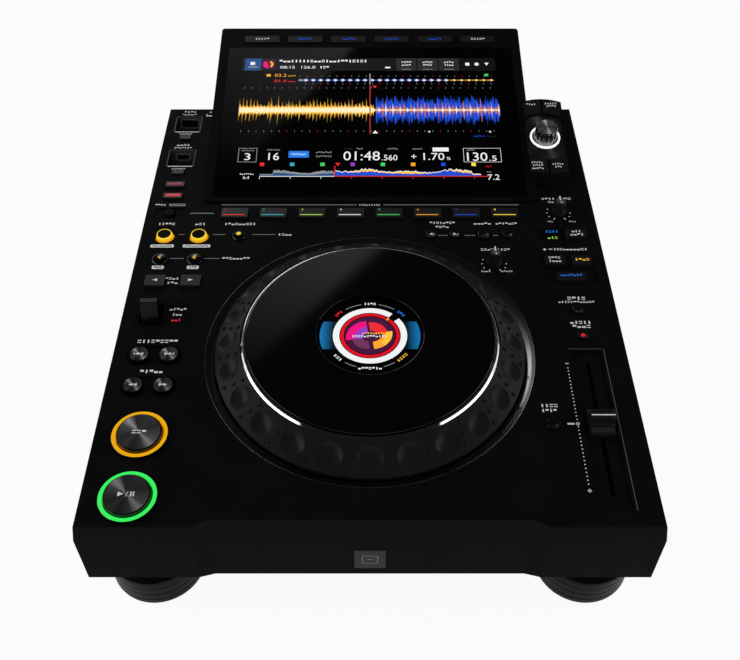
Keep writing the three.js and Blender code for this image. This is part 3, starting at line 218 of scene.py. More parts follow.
def rounded(points, reach, closed=False, steps=4):
    """The same path with each corner turned into a curve that starts at most a given reach from it."""
    made = []
    count = len(points)
    for i, point in enumerate(points):
        if not closed and i in (0, count - 1):
            made.append(tuple(point))
            continue
        here = Vector(point)
        back, on = Vector(points[i - 1]) - here, Vector(points[(i + 1) % count]) - here
        away = min(reach, back.length / 2, on.length / 2)
        start, end = here + back.normalized() * away, here + on.normalized() * away
        for step in range(steps + 1):
            t = step / steps
            made.append(tuple((1 - t) ** 2 * start + 2 * t * (1 - t) * here + t * t * end))
    return made


def rectangle(x, y, width, depth):
    w, d = width / 2, depth / 2
    return [(x - w, y - d), (x + w, y - d), (x + w, y + d), (x - w, y + d)]


def round_rectangle(x, y, width, depth, corner):
    return rounded(rectangle(x, y, width, depth), corner, closed=True)


def circle(x, y, radius, steps=32):
    angles = [2 * math.pi * i / steps for i in range(steps)]
    return [(x + radius * math.cos(a), y + radius * math.sin(a)) for a in angles]


def keycap(form, x, y, width, depth, low, high, corner, edge):
    """A rectangular key with soft corners and a rolled upper edge."""
    rings = [[(px, py, low) for px, py in round_rectangle(x, y, width, depth, corner)]]
    steps = 4
    for i in range(steps + 1):
        angle = math.pi / 2 * i / steps
        inset = edge * (1 - math.cos(angle))
        z = high - edge + edge * math.sin(angle)
        outline = round_rectangle(x, y, width - 2 * inset, depth - 2 * inset, corner)
        rings.append([(px, py, z) for px, py in outline])
    form.stack(rings)


def piece(name, form, finish, body, replaces=(), angle=SMOOTH_ANGLE):
    """Makes one object of a form, gives it its finish and lets it ride on its body."""
    mesh = bpy.data.meshes.new(name)
    mesh.from_pydata([tuple(point) for point in form.points], [], form.faces)
    shape = bmesh.new()
    shape.from_mesh(mesh)
    bmesh.ops.remove_doubles(shape, verts=shape.verts, dist=MM / 500)
    bmesh.ops.dissolve_degenerate(shape, edges=shape.edges, dist=MM / 2000)
    bmesh.ops.recalc_face_normals(shape, faces=shape.faces)
    shape.to_mesh(mesh)
    shape.free()
    mesh.shade_smooth()
    mesh.set_sharp_from_angle(angle=angle)
    mesh.materials.append(finishes[finish] if isinstance(finish, str) else finish)
    made = bpy.data.objects.new(name, mesh)
    flat = made.modifiers.new("flat_tops", "WEIGHTED_NORMAL")
    flat.keep_sharp = True
    bpy.context.scene.collection.objects.link(made)
    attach(made, body)
    if replaces:
        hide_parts(*replaces)


def turned(name, plane, profile, steps, finish, body, replaces=(), at=(0, 0), closed=False):
    """Makes one piece of a profile that is turned about an upright axis."""
    form = Form(plane)
    form.turn(profile, steps, at[0], at[1], closed)
    piece(name, form, finish, body, replaces)


# Finishes

# Paler colour painted as light on the case's slopes that face the front and upwards
CASE_SLOPE_PAINTED_LIGHT = (0.0125, 0.0125, 0.013)
REAR_WALL = 1.5
REAR_WALL_COLOR = (0.006, 0.006, 0.0063)
# Painted highlights of spun metal, fixed in its colour: place round the turn, and how far from dark to light
SPUN_PAINTED_HIGHLIGHTS = (
    (0.0, 0.14), (0.06, 0.06), (0.16, 0.16), (0.22, 0.85), (0.27, 0.2), (0.42, 0.05),
    (0.56, 0.14), (0.66, 0.08), (0.72, 0.95), (0.78, 0.16), (0.92, 0.05), (1.0, 0.14),
)


class Nodes:
    """Short ways to add nodes to a material, a world or a lamp."""

    def __init__(self, tree):
        self.tree = tree

    def node(self, kind, **settings):
        made = self.tree.nodes.new(kind)
        for name, value in settings.items():
            if name.startswith("in_"):
                made.inputs[name[3:].replace("_", " ")].default_value = value
            else:
                setattr(made, name, value)
        return made

    def link(self, source, target):
        self.tree.links.new(source, target)

    def fed(self, kind, source, socket="Vector", **settings):
        """A new node with one socket fed by another node's output."""
        made = self.node(kind, **settings)
        self.link(source, made.inputs[socket])
        return made

    def places(self, kind="Object"):
        return self.node("ShaderNodeTexCoord").outputs[kind]

    def axis(self, source, name):
        """One coordinate of a vector."""
        return self.fed("ShaderNodeSeparateXYZ", source).outputs[name]

    def ranged(self, value, low, high, start=0.0, end=1.0):
        """A value from start to end, brought to the span from low to high."""
        made = self.fed("ShaderNodeMapRange", value, "Value", in_From_Min=start, in_From_Max=end,
                        in_To_Min=low, in_To_Max=high)
        return made.outputs["Result"]

    def combined(self, operation, first, second):
        made = self.fed("ShaderNodeMath", first, 0, operation=operation)
        self.link(second, made.inputs[1])
        return made.outputs["Value"]

    def direct_rays(self):
        """One where a ray comes straight from the camera, a mirror or glass, and zero elsewhere."""
        path = self.node("ShaderNodeLightPath")
        total = path.outputs["Is Camera Ray"]
        for name in ("Is Glossy Ray", "Is Transmission Ray"):
            total = self.combined("MAXIMUM", total, path.outputs[name])
        return total


class Finish(Nodes):
    """A material built on the principled surface, with short ways to add texture to it."""

    def __init__(self, name, color, roughness, metallic=0.0, specular=0.5):
        self.material = bpy.data.materials.new(name)
        self.material.use_nodes = True
        super().__init__(self.material.node_tree)
        self.surface = self.tree.nodes["Principled BSDF"]
        self.color = color
        self.set("Base Color", (*color, 1))
        self.set("Roughness", roughness)
        self.set("Metallic", metallic)
        self.set("Specular IOR Level", specular)
        self.height = None

    def set(self, socket, value):
        self.surface.inputs[socket].default_value = value

    def drive(self, socket, source):
        self.link(source, self.surface.inputs[socket])
        return self

    def noise(self, scale, detail):
        made = self.fed("ShaderNodeTexNoise", self.places(), in_Scale=scale, in_Detail=detail)
        return made.outputs["Fac"]

    def bump(self, height, distance, strength=1.0):
        """Adds one layer of relief, in metres, over those already there."""
        made = self.fed("ShaderNodeBump", height, "Height", in_Strength=strength, in_Distance=distance)
        if self.height is not None:
            self.link(self.height, made.inputs["Normal"])
        self.height = made.outputs["Normal"]
        return self.drive("Normal", self.height)

    def grain(self, scale, distance):
        return self.bump(self.noise(scale, 2.0), distance)

    def worn(self, scale, low, high):
        """Roughness that wanders between two values."""
        return self.drive("Roughness", self.ranged(self.noise(scale, 4.0), low, high, 0.3, 0.7))

    def mixed(self, share, first, second, target="Base Color"):
        """Drives a colour with a mix of two. The first may be another node's output."""
        mix = self.fed("ShaderNodeMix", share, "Factor", data_type="RGBA")
        if isinstance(first, bpy.types.NodeSocket):
            self.link(first, mix.inputs["A"])
        else:
            mix.inputs["A"].default_value = (*first, 1)
        mix.inputs["B"].default_value = (*second, 1)
        return self.drive(target, mix.outputs["Result"])

    def tinted(self, scale, other):
        """Colour that drifts towards another one in soft patches."""
        return self.mixed(self.ranged(self.noise(scale, 4.0), 0.0, 1.0, 0.35, 0.65), self.color, other)

    def done(self):
        return self.material


def shade(value):
    return (value, value, value)


def unlit(color):
    """The colour of a lamp's surface itself, under its own light."""
    return tuple(channel * 0.1 for channel in color)


def plain(name, color, roughness, specular, worn, tint=None, grain=None):
    """A finish with wandering roughness and, where given, a drifting tint and a grain."""
    finish = Finish(name, color, roughness, specular=specular).worn(*worn)
    if tint:
        finish.tinted(*tint)
    if grain:
        finish.grain(*grain)
    return finish.done()


def metal(name, level, roughness, worn):
    return Finish(name, level, roughness, metallic=1.0).worn(*worn).done()


def bright_metal(name, level, roughness):
    return metal(name, shade(level), roughness, (400, roughness * 0.8, roughness * 1.3))


def case_plastic():
    """Black plastic, with a paler colour painted as light on the slopes that face the player's front."""
    finish = Finish("case_plastic", (0.0046, 0.0046, 0.0049), 0.4, specular=0.008)
    finish.tinted(38, (0.0058, 0.0058, 0.0061)).worn(90, 0.36, 0.44)
    # Painted light: slopes facing the front and upwards take the paler slope colour
    normal = finish.node("ShaderNodeNewGeometry").outputs["True Normal"]
    ahead = finish.ranged(finish.axis(normal, "Y"), 0.0, 1.0, -0.55, -0.6)
    upward = finish.ranged(finish.axis(normal, "Z"), 0.0, 1.0, 0.25, 0.35)
    base = finish.surface.inputs["Base Color"].links[0].from_socket
    finish.mixed(finish.combined("MULTIPLY", ahead, upward), base, CASE_SLOPE_PAINTED_LIGHT)
    return finish.grain(5200, 0.000007).grain(1400, 0.000006).done()


def spun_metal(name, dark, light, turn, roughness, metallic):
    """Metal turned on a lathe: fine rings, a real radial sheen, and painted highlights, bands of paler colour
    that run out from its middle.
    """
    finish = Finish(name, shade(light), roughness, metallic=metallic)
    finish.set("Anisotropic", 0.75)
    tangent = finish.node("ShaderNodeTangent", direction_type="RADIAL", axis="Z")
    finish.drive("Tangent", tangent.outputs["Tangent"])
    shift = finish.fed("ShaderNodeMapping", finish.places("Generated"), in_Location=(-0.5, -0.5, 0))
    centred = shift.outputs["Vector"]
    spin = finish.fed("ShaderNodeMapping", centred, in_Rotation=(0, 0, math.radians(turn)))
    around = finish.fed("ShaderNodeTexGradient", spin.outputs["Vector"], gradient_type="RADIAL")
    # Painted highlights: the colour turns paler in fixed bands round the middle
    painted_bands = finish.fed("ShaderNodeValToRGB", around.outputs["Fac"], "Fac")
    ramp = painted_bands.color_ramp
    while len(ramp.elements) < len(SPUN_PAINTED_HIGHLIGHTS):
        ramp.elements.new(0.5)
    for element, (place, share) in zip(ramp.elements, SPUN_PAINTED_HIGHLIGHTS):
        element.position = place
        element.color = (*shade(dark + (light - dark) * share), 1)
    finish.drive("Base Color", painted_bands.outputs["Color"])
    rings = finish.fed("ShaderNodeTexWave", centred, wave_type="RINGS", rings_direction="Z", in_Scale=42.0,
                       in_Distortion=0.6, in_Detail=2.0)
    return finish.bump(rings.outputs["Fac"], 0.000012, 0.5).done()


def lit(name, color, strength):
    finish = Finish(name, unlit(color), 0.4, specular=0.2)
    finish.set("Emission Color", (*color, 1))
    finish.set("Emission Strength", strength)
    return finish.done()


def light_guide(name, deep, bright, low, high):
    """A lit ring that is deeper in colour near its foot than on its crown."""
    finish = Finish(name, unlit(bright), 0.35, specular=0.2)
    share = finish.ranged(finish.axis(finish.places(), "Z"), 0.0, 1.0, low, high)
    finish.set("Emission Strength", 1.0)
    return finish.mixed(share, deep, bright, "Emission Color").done()


def side_panel_light():
    """Blue that fades from the rim of the round display towards its middle."""
    finish = Finish("side_panel_light", (0.001, 0.004, 0.01), 0.3, specular=0.2)
    away = finish.fed("ShaderNodeMath", finish.axis(finish.places(), "X"), 0, operation="ABSOLUTE")
    finish.set("Emission Color", (0.006, 0.2, 0.5, 1))
    fade = finish.ranged(away.outputs["Value"], 0.03, 1.0, 0.0235, 0.0325)
    return finish.drive("Emission Strength", fade).done()


def ink(name, color):
    return Finish(name, color, 0.55, specular=0.2).grain(5200, 0.00001).done()


def hatched_disc():
    """Gloss black with a fine diamond hatch under its surface."""
    finish = Finish("jog_disc_gloss", (0.0018, 0.0018, 0.002), 0.06, specular=0.45)
    for turn in (35, -35):
        spin = finish.fed("ShaderNodeMapping", finish.places(), in_Rotation=(0, 0, math.radians(turn)))
        lines = finish.fed("ShaderNodeTexWave", spin.outputs["Vector"], wave_type="BANDS",
                           bands_direction="X", in_Scale=330.0)
        finish.bump(lines.outputs["Fac"], 0.00001, 0.12)
    return finish.done()


def ribbed_rubber():
    finish = Finish("ribbed_rubber", (0.003, 0.003, 0.0032), 0.36, specular=0.04)
    ribs = finish.fed("ShaderNodeTexWave", finish.places(), wave_type="BANDS", bands_direction="Z",
                      in_Scale=520.0)
    return finish.bump(ribs.outputs["Fac"], 0.00008, 0.4).grain(3000, 0.000006).done()


def board_green():
    """Green boards whose sockets turn black where they reach into the rear wall."""
    finish = Finish("circuit_board", (0.010, 0.085, 0.035), 0.4, specular=0.3)
    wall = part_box("bottom_chassis")[1].y - REAR_WALL * MM
    along = finish.axis(finish.node("ShaderNodeNewGeometry").outputs["Position"], "Y")
    share = finish.ranged(along, 0.0, 1.0, wall - 2 * MM, wall - 1.9 * MM)
    return finish.mixed(share, finish.color, REAR_WALL_COLOR).worn(200, 0.3, 0.5).done()


COLORS = {
    "black": (0.004, 0.004, 0.0045),
    "white": (0.84, 0.85, 0.86),
    "grey": (0.26, 0.27, 0.28),
    "crimson": (0.68, 0.0, 0.012),
    "maroon": (0.36, 0.03, 0.03),
    "plum": (0.055, 0.004, 0.04),
    "mauve": (0.16, 0.03, 0.1),
    "navy": (0.012, 0.075, 0.24),
    "edge": (0.12, 0.12, 0.125),
    "slate": (0.02, 0.02, 0.022),
    "dim": (0.004, 0.004, 0.005),
    "bronze": (0.62, 0.29, 0.012),
    "red": (0.8, 0.02, 0.03),
    "cyan": (0.03, 0.42, 0.52),
    "lime": (0.42, 0.72, 0.08),
    "green": (0.05, 0.62, 0.12),
    "orange": (0.95, 0.36, 0.02),
    "rust": (0.6, 0.17, 0.01),
    "amber": (1.0, 0.55, 0.03),
    "yellow": (0.95, 0.72, 0.05),
    "blue": (0.01, 0.07, 0.62),
    "sky": (0.012, 0.2, 0.8),
    "purple": (0.28, 0.04, 0.55),
    "magenta": (0.82, 0.0, 0.2),
    "cream": (1.0, 0.82, 0.5),
}
finishes = {
    "case": case_plastic(),
    "key": plain("key_plastic", (0.009, 0.009, 0.0094), 0.34, 0.16, (60, 0.31, 0.37),
                 (60, (0.0105, 0.0105, 0.011)), (6400, 0.000003)),
    "skirt": plain("skirt_plastic", (0.0125, 0.0125, 0.013), 0.33, 0.09, (40, 0.31, 0.35),
                   (30, (0.0138, 0.0138, 0.0143)), (7000, 0.000002)),
    "recess": metal("recess_gloss", (0.22, 0.22, 0.225), 0.2, (30, 0.18, 0.22)),
    "socket": plain("socket_shell", (0.022, 0.022, 0.023), 0.4, 0.2, (160, 0.34, 0.46),
                    (120, (0.027, 0.027, 0.028)), (5200, 0.000005)),
    "gloss": plain("gloss_plastic", (0.0025, 0.0025, 0.0028), 0.09, 0.45, (70, 0.06, 0.13),
                   grain=(900, 0.000002)),
    "flat_black": plain("flat_black", (0.0015, 0.0015, 0.0017), 0.35, 0.02, (60, 0.3, 0.4)),
    "ribbed": ribbed_rubber(),
    "steel": plain("tray_steel", (0.012, 0.012, 0.013), 0.5, 0.4, (80, 0.42, 0.58),
                   (30, (0.018, 0.018, 0.019)), (2600, 0.00006)),
    "chrome": bright_metal("trim_chrome", 0.82, 0.07),
    "dark_chrome": bright_metal("dark_chrome", 0.2, 0.2),
    "smoked": plain("smoked_pane", (0.0015, 0.0015, 0.0017), 0.12, 0.12, (60, 0.1, 0.16)),
    "fastener": bright_metal("fastener_steel", 0.35, 0.3),
    "spun": spun_metal("spun_cap", 0.014, 0.62, -52, 0.3, 0.75),
    "spun_dark": spun_metal("spun_dark_cap", 0.003, 0.4, -52, 0.25, 0.75),
    "spun_plate": spun_metal("spun_plate", 0.003, 0.13, -32, 0.3, 0.4),
    "spun_knob": spun_metal("spun_knob_top", 0.01, 0.9, -22, 0.38, 0.4),
    "satin_dome": plain("satin_dome", (0.004, 0.004, 0.0044), 0.16, 0.5, (300, 0.12, 0.2)),
    "disc": hatched_disc(),
    "board": board_green(),
    "glass": plain("display_glass", (0.0012, 0.0012, 0.0016), 0.04, 0.4, (12, 0.03, 0.07)),
    "orange_light": light_guide("orange_light", (0.66, 0.13, 0.0), (0.78, 0.38, 0.0), 0.0836, 0.0855),
    "green_light": light_guide("green_light", (0.0, 0.25, 0.01), (0.035, 0.86, 0.11), 0.0836, 0.0855),
    "loop_light": light_guide("loop_light", (0.62, 0.2, 0.0), (1.0, 0.68, 0.03), 0.0825, 0.0862),
    "side_panel": side_panel_light(),
    "white_light": lit("white_light", (1.0, 1.0, 1.0), 1.0),
}
LIT_STRENGTH = {"legend": 0.75, "screen": 1.0, "halo": 0.2}
# Finishes of the nodes that keep their own shape
DRESSED = {
    "case": ("top_cover", "display_housing", "display_frame", "selector_housing", "fader_plate"),
    "key": ("menu_keys", "selector_keys", "media_keys", "sync_keys", "beat_jump_keys", "storage_sockets"),
    "flat_black": ("lever_bezel", "call_button"),
    "smoked": ("front_window",),
    "board": ("main_board", "power_supply", "socket_board"),
    "steel": ("bottom_chassis", "fader_track", "selector_shaft"),
    "glass": ("display_glass", "display_panel"),
}
# Width and segments of the nodes' rounded edges
SOFTENED = {
    "display_housing": (0.6, 2), "display_frame": (0.35, 2), "selector_housing": (0.5, 2),
    "menu_keys": (0.5, 2), "selector_keys": (0.35, 2), "storage_sockets": (0.15, 2), "lever_bezel": (0.2, 2),
    "front_window": (0.3, 2), "fader_plate": (0.25, 2), "bottom_chassis": (0.2, 2), "media_keys": (0.5, 3),
    "sync_keys": (0.5, 3), "beat_jump_keys": (0.5, 3),
}
SOFT_ANGLE = math.radians(30)


def dress_nodes():
    """Gives the nodes their finishes in place of their plain ones, and rounds their sharp edges."""
    for finish, names in DRESSED.items():
        for name in names:
            nodes[name].data.materials.clear()
            nodes[name].data.materials.append(finishes[finish])
    for name, (width, segments) in SOFTENED.items():
        made = nodes[name]
        flat = made.modifiers.new("flat", "DECIMATE")
        flat.decimate_type = "DISSOLVE"
        flat.angle_limit = math.radians(1)
        edge = made.modifiers.new("edge", "BEVEL")
        edge.width = width * MM
        edge.segments = segments
        edge.limit_method = "ANGLE"
        edge.angle_limit = SOFT_ANGLE
        edge.use_clamp_overlap = True
        edge.harden_normals = True
        made.data.shade_smooth()
        made.data.set_sharp_from_angle(angle=SOFT_ANGLE)


# Print and lit marks are gathered by colour and body, and become one piece each.
prints = {}


def marks(kind, color, body="player", plane=deck):
    """The form that gathers marks of one kind and colour on one body, drawn on a given plane."""
    form = prints.setdefault((kind, color, body), Form(plane))
    form.plane = plane
    return form


def print_pieces():
    for (kind, color, body), form in prints.items():
        name = f"{color}_{kind}_{body}"
        if kind == "print":
            finish = ink(f"{color}_ink", COLORS[color])
        else:
            finish = lit(f"{color}_{kind}_light", COLORS[color], LIT_STRENGTH[kind])
        piece(name, form, finish, body)


def strip(form, x, y, width, height, low, seed, high=None, turn=0):
    """A line of small blocks in place of a word: half blocks, narrow blocks and pairs of dashes."""
    cosine, sine = math.cos(math.radians(turn)), math.sin(math.radians(turn))

    def block(left_x, low_y, block_width, block_height):
        corners = rectangle(left_x - x, low_y - y, block_width, block_height)
        form.prism([(x + a * cosine - b * sine, y + a * sine + b * cosine) for a, b in corners], low, top)

    top = low + INK if high is None else high
    cell, gap = height * 0.86, height * 0.24
    count = max(1, round((width + gap) / (cell + gap)))
    pitch = (width + gap) / count
    cell = pitch - gap
    pick = random.Random(seed)
    left = x - width / 2
    for i in range(count):
        middle_x = left + pitch * i + cell / 2
        kind = pick.choice(("upper", "lower", "pair", "narrow"))
        if kind == "upper":
            block(middle_x, y + height / 5, cell, height * 0.55)
        elif kind == "lower":
            block(middle_x, y - height / 5, cell, height * 0.55)
        elif kind == "narrow":
            block(middle_x, y, cell * 0.45, height)
        else:
            block(middle_x, y + height / 3, cell, height * 0.26)
            block(middle_x, y - height / 3, cell, height * 0.26)


def triangle(form, x, y, width, height, low, high):
    """A triangle that points right, or left where its width is negative."""
    w, h = width / 2, height / 2
    outline = [(x - w, y - h), (x + w, y), (x - w, y + h)]
    form.prism(outline if width > 0 else outline[::-1], low, high)


# Feet

FOOT_RADIUS = 29
FOOT_LOWER = ((0, 0), (25.6, 0), (26.4, 0.5), (28.6, 2.4), (FOOT_RADIUS, 4.2))
FOOT_UPPER = ((FOOT_RADIUS, 24.5), (28.7, 26.2), (25.8, 29.2), (24, 31.2), (24, 35.7), (0, 35.7))
FOOT_GROOVES = (7.5, 13.5, 19.5)
GROOVE_DEPTH = 0.5
GROOVE_HALF = 0.35


def make_feet():
    profile = list(FOOT_LOWER)
    floor = FOOT_RADIUS - GROOVE_DEPTH
    for groove in FOOT_GROOVES:
        profile += [(FOOT_RADIUS, groove - GROOVE_HALF), (floor, groove - GROOVE_HALF / 2),
                    (floor, groove + GROOVE_HALF / 2), (FOOT_RADIUS, groove + GROOVE_HALF)]
    profile += FOOT_UPPER
    for node in ("front_foot_left", "front_foot_right", "rear_foot_left", "rear_foot_right"):
        turned(f"{node}_drum", foot_plane, profile, 96, "ribbed", "player", (node,),
               foot_plane.local(middle(node)))


# Jog wheel

SKIRT_RADIUS = 99.1
SKIRT_HEIGHT = 0.9
SHOULDER_RADIUS = 82.4
SHOULDER_HEIGHT = 12.6
SLOPE_RUN = SKIRT_RADIUS - SHOULDER_RADIUS
SLOPE_RISE = SHOULDER_HEIGHT - SKIRT_HEIGHT
SLOPE_LENGTH = math.hypot(SLOPE_RUN, SLOPE_RISE)
SLOPE_MIDDLE = (SKIRT_RADIUS + SHOULDER_RADIUS) / 2
SKIRT_UNDERSIDE = -4.5
SKIRT_CHAMFER = 2
SKIRT_LIP = 0.3
SEAT_HEIGHT = 9
HUB_GAP_RADIUS = 40.3
DIMPLES = 24
DIMPLE_RADIUS = 7.9
DIMPLE_DEPTH = 2.5
DIMPLE_STEPS = 44
DIMPLE_MARGIN = 1.12
DISH_STEPS = 9
BUMP_RADIUS = 1.3
BUMP_HEIGHT = 1.0
# Shares of a bump's radius and height, and radius and shift in degrees of the bumps of a row
BUMP_SIDE = ((1, -0.4), (1, 0.55), (0.9, 0.85), (0.72, 1), (0.5, 0.95), (0.2, 0.8))
BUMPS = ((85.3, 1.4), (90.9, 0.0), (96.5, -1.6))
SECTOR_COLUMNS = 20
SECTOR_ROWS = 10
WIDE_STEPS = 256


def on_skirt(x, up, lift, turn):
    """A flat place of the skirt, set on its cone and lifted square to it."""
    angle = turn + x / SLOPE_MIDDLE
    radius = SKIRT_RADIUS - SLOPE_RUN * up / SLOPE_LENGTH + lift * SLOPE_RISE / SLOPE_LENGTH
    height = SKIRT_HEIGHT + SLOPE_RISE * up / SLOPE_LENGTH + lift * SLOPE_RUN / SLOPE_LENGTH
    return (radius * math.sin(angle), -radius * math.cos(angle), height)


def flat_skirt():
    """Points and faces of one sector laid flat: triangles from its rim to its dimple, and the dish in it."""
    half = math.pi / DIMPLES * SLOPE_MIDDLE
    centre = SLOPE_LENGTH / 2
    xs = [half * (2 * i / SECTOR_COLUMNS - 1) for i in range(SECTOR_COLUMNS + 1)]
    ups = [SLOPE_LENGTH * j / SECTOR_ROWS for j in range(SECTOR_ROWS + 1)]
    rim = [(x, 0) for x in xs] + [(half, up) for up in ups[1:]]
    rim += [(x, SLOPE_LENGTH) for x in xs[-2::-1]] + [(-half, up) for up in ups[-2:0:-1]]
    points, edges = [], []
    for outline in (rim, circle(0, centre, DIMPLE_RADIUS, DIMPLE_STEPS)):
        base, count = len(points), len(outline)
        points += outline
        edges += [(base + i, base + (i + 1) % count) for i in range(count)]
    points += [(x, up) for x in xs[1:-1] for up in ups[1:-1]
               if math.hypot(x, up - centre) > DIMPLE_RADIUS * DIMPLE_MARGIN]
    verts, _, faces, *_ = delaunay_2d_cdt([Vector(point) for point in points], edges, [], 1, 1e-5)
    kept = [list(face) for face in faces
            if max(math.hypot(verts[i].x, verts[i].y - centre) for i in face) > DIMPLE_RADIUS + 0.001]
    flats = [(vert.x, vert.y, 0) for vert in verts]
    for j in range(DISH_STEPS):
        share = 1 - j / DISH_STEPS
        base = len(flats)
        flats += [(x, up, -DIMPLE_DEPTH * (1 - share * share))
                  for x, up in circle(0, centre, DIMPLE_RADIUS * share, DIMPLE_STEPS)]
        if j:
            for i in range(DIMPLE_STEPS):
                here, beyond = base + i, base + (i + 1) % DIMPLE_STEPS
                kept.append([here - DIMPLE_STEPS, beyond - DIMPLE_STEPS, beyond, here])
    lowest = len(flats)
    flats.append((0, centre, -DIMPLE_DEPTH))
    kept += [[base + i, base + (i + 1) % DIMPLE_STEPS, lowest] for i in range(DIMPLE_STEPS)]
    return flats, kept


def make_jog_wheel():
    form = Form(jog)
    flats, faces = flat_skirt()
    for i in range(DIMPLES):
        turn = 2 * math.pi * i / DIMPLES
        form.add([on_skirt(*flat, turn) for flat in flats], faces)
    under = rounded([
        (SKIRT_RADIUS, SKIRT_HEIGHT), (SKIRT_RADIUS + SKIRT_LIP, SKIRT_HEIGHT - 0.5),
        (SKIRT_RADIUS + SKIRT_LIP, SKIRT_HEIGHT - 1.2), (SKIRT_RADIUS, SKIRT_HEIGHT - 1.6),
        (SKIRT_RADIUS, SKIRT_CHAMFER + SKIRT_UNDERSIDE),
        (SKIRT_RADIUS - SKIRT_CHAMFER, SKIRT_UNDERSIDE), (HUB_GAP_RADIUS, SKIRT_UNDERSIDE),
        (HUB_GAP_RADIUS, SEAT_HEIGHT), (SHOULDER_RADIUS, SEAT_HEIGHT), (SHOULDER_RADIUS, SHOULDER_HEIGHT),
    ], 0.5)
    steps, count = DIMPLES * SECTOR_COLUMNS, len(under)
    points, band = [], []
    for i in range(steps):
        angle = 2 * math.pi * i / steps
        points += [(r * math.sin(angle), -r * math.cos(angle), z) for r, z in under]
        here, beyond = i * count, (i + 1) % steps * count
        band += [[here + j, beyond + j, beyond + j + 1, here + j + 1] for j in range(count - 1)]
    form.add(points, band)
    piece("jog_wheel_skirt", form, "skirt", "jog", ("jog_wheel",), math.radians(24))
    bumps = Form(jog)
    for i in range(DIMPLES):
        turn = 2 * math.pi * (i + 0.5) / DIMPLES
        for radius, shift in BUMPS:
            up = (SKIRT_RADIUS - radius) / SLOPE_RUN * SLOPE_LENGTH
            bumps.stack([[on_skirt(x, up + y, BUMP_HEIGHT * height, turn + math.radians(shift))
                          for x, y in circle(0, 0, BUMP_RADIUS * share, 14)] for share, height in BUMP_SIDE])
    piece("jog_wheel_dots", bumps, "skirt", "jog")


TRIM_INNER = 79.3
TRIM_OUTER = 82.1
TRIM_TOP = 13.8
TRIM_EDGE = 1.4
DISC_RADIUS = 79.0
DISC_BORE = 34
DISC_TOP = 15.4
JOG_SEAT = 9.3
RECESS_LIP = 105.8
BASE_FLANGE = 111.1


def make_jog_top():
    turned("jog_trim_band", jog, rounded([
        (TRIM_INNER, JOG_SEAT), (TRIM_OUTER, JOG_SEAT), (TRIM_OUTER, TRIM_TOP - TRIM_EDGE - 0.1),
        (TRIM_OUTER - 0.2, TRIM_TOP - TRIM_EDGE), (TRIM_OUTER - TRIM_EDGE, TRIM_TOP - 0.1),
        (TRIM_OUTER - TRIM_EDGE - 0.3, TRIM_TOP), (TRIM_INNER, TRIM_TOP),
    ], 0.5, closed=True), WIDE_STEPS, "chrome", "jog", ("jog_trim_ring",), closed=True)
    turned("jog_disc_plate", jog, rounded([
        (DISC_BORE, JOG_SEAT), (DISC_RADIUS, JOG_SEAT), (DISC_RADIUS, DISC_TOP),
        (DISC_RADIUS - 1.8, DISC_TOP), (DISC_BORE + 0.4, DISC_TOP), (DISC_BORE, DISC_TOP - 0.3),
    ], 0.8, closed=True, steps=5), WIDE_STEPS, "disc", "jog", ("jog_disc",), closed=True)


def make_jog_base():
    lip = RECESS_LIP
    turned("jog_recess", jog, rounded([
        (33.2, -9), (BASE_FLANGE, -9), (BASE_FLANGE, -2.8), (lip, -2.8), (lip, 0.0), (lip - 0.3, 0.0),
        (lip - 2.4, -1.2), (lip - 4.4, -2.1), (lip - 6.1, -2.7), (lip - 6.1, -6), (40, -6), (40, 8.4),
        (33.2, 8.4),
    ], 0.9, closed=True), WIDE_STEPS, "recess", "player", ("jog_base",), closed=True)


# Round display in the middle of the wheel

JOG_GLASS_RADIUS = 32.9
JOG_GLASS_TOP = 13
# Bands and a generic picture of petals: colour, radii, angles, thickness, steps and middle
JOG_PICTURE = (
    ("white", 19.5, 23.6, 52, 398, INK, 72, 0, 0), ("crimson", 16.6, 18.9, 44, 395, INK, 72, 0, 0),
    ("orange", 16.6, 18.9, 37, 42, INK, 12, 0, 0), ("plum", 0.3, 16.0, 0, 359.9, INK / 3, 64, 0, 0),
    ("magenta", 4.2, 14.6, 262, 352, INK / 2, 32, -0.6, -2.2),
    ("purple", 4.2, 9.4, 262, 352, INK * 0.7, 32, -0.6, -2.2),
    ("orange", 7.2, 13.4, 82, 172, INK / 2, 32, 0.8, 1.6),
    ("amber", 9.6, 13.4, 82, 140, INK * 0.7, 32, 0.8, 1.6),
    ("mauve", 3.0, 9.6, 172, 262, INK / 2, 32, -1.6, -2.0),
    ("red", 3.4, 10.8, 352, 442, INK / 2, 32, 0.6, 0.4),
)
PANEL_RIM = 31.9
PANEL_ROOT = 24.1
PANEL_HALF_ANGLE = math.radians(21.5)
PANEL_STEPS = 12
# Words round the picture: angle, colour and width
JOG_WORDS = (
    (0, "white", 7.6), (-47, "red", 6.0), (47, "sky", 6.0), (-133, "white", 6.6), (133, "amber", 8.4),
    (180, "white", 14.5),
)
JOG_WORD_RADIUS = 27.4
JOG_ARCS = ((12, 35), (-35, -12), (-162, -146), (146, 162))


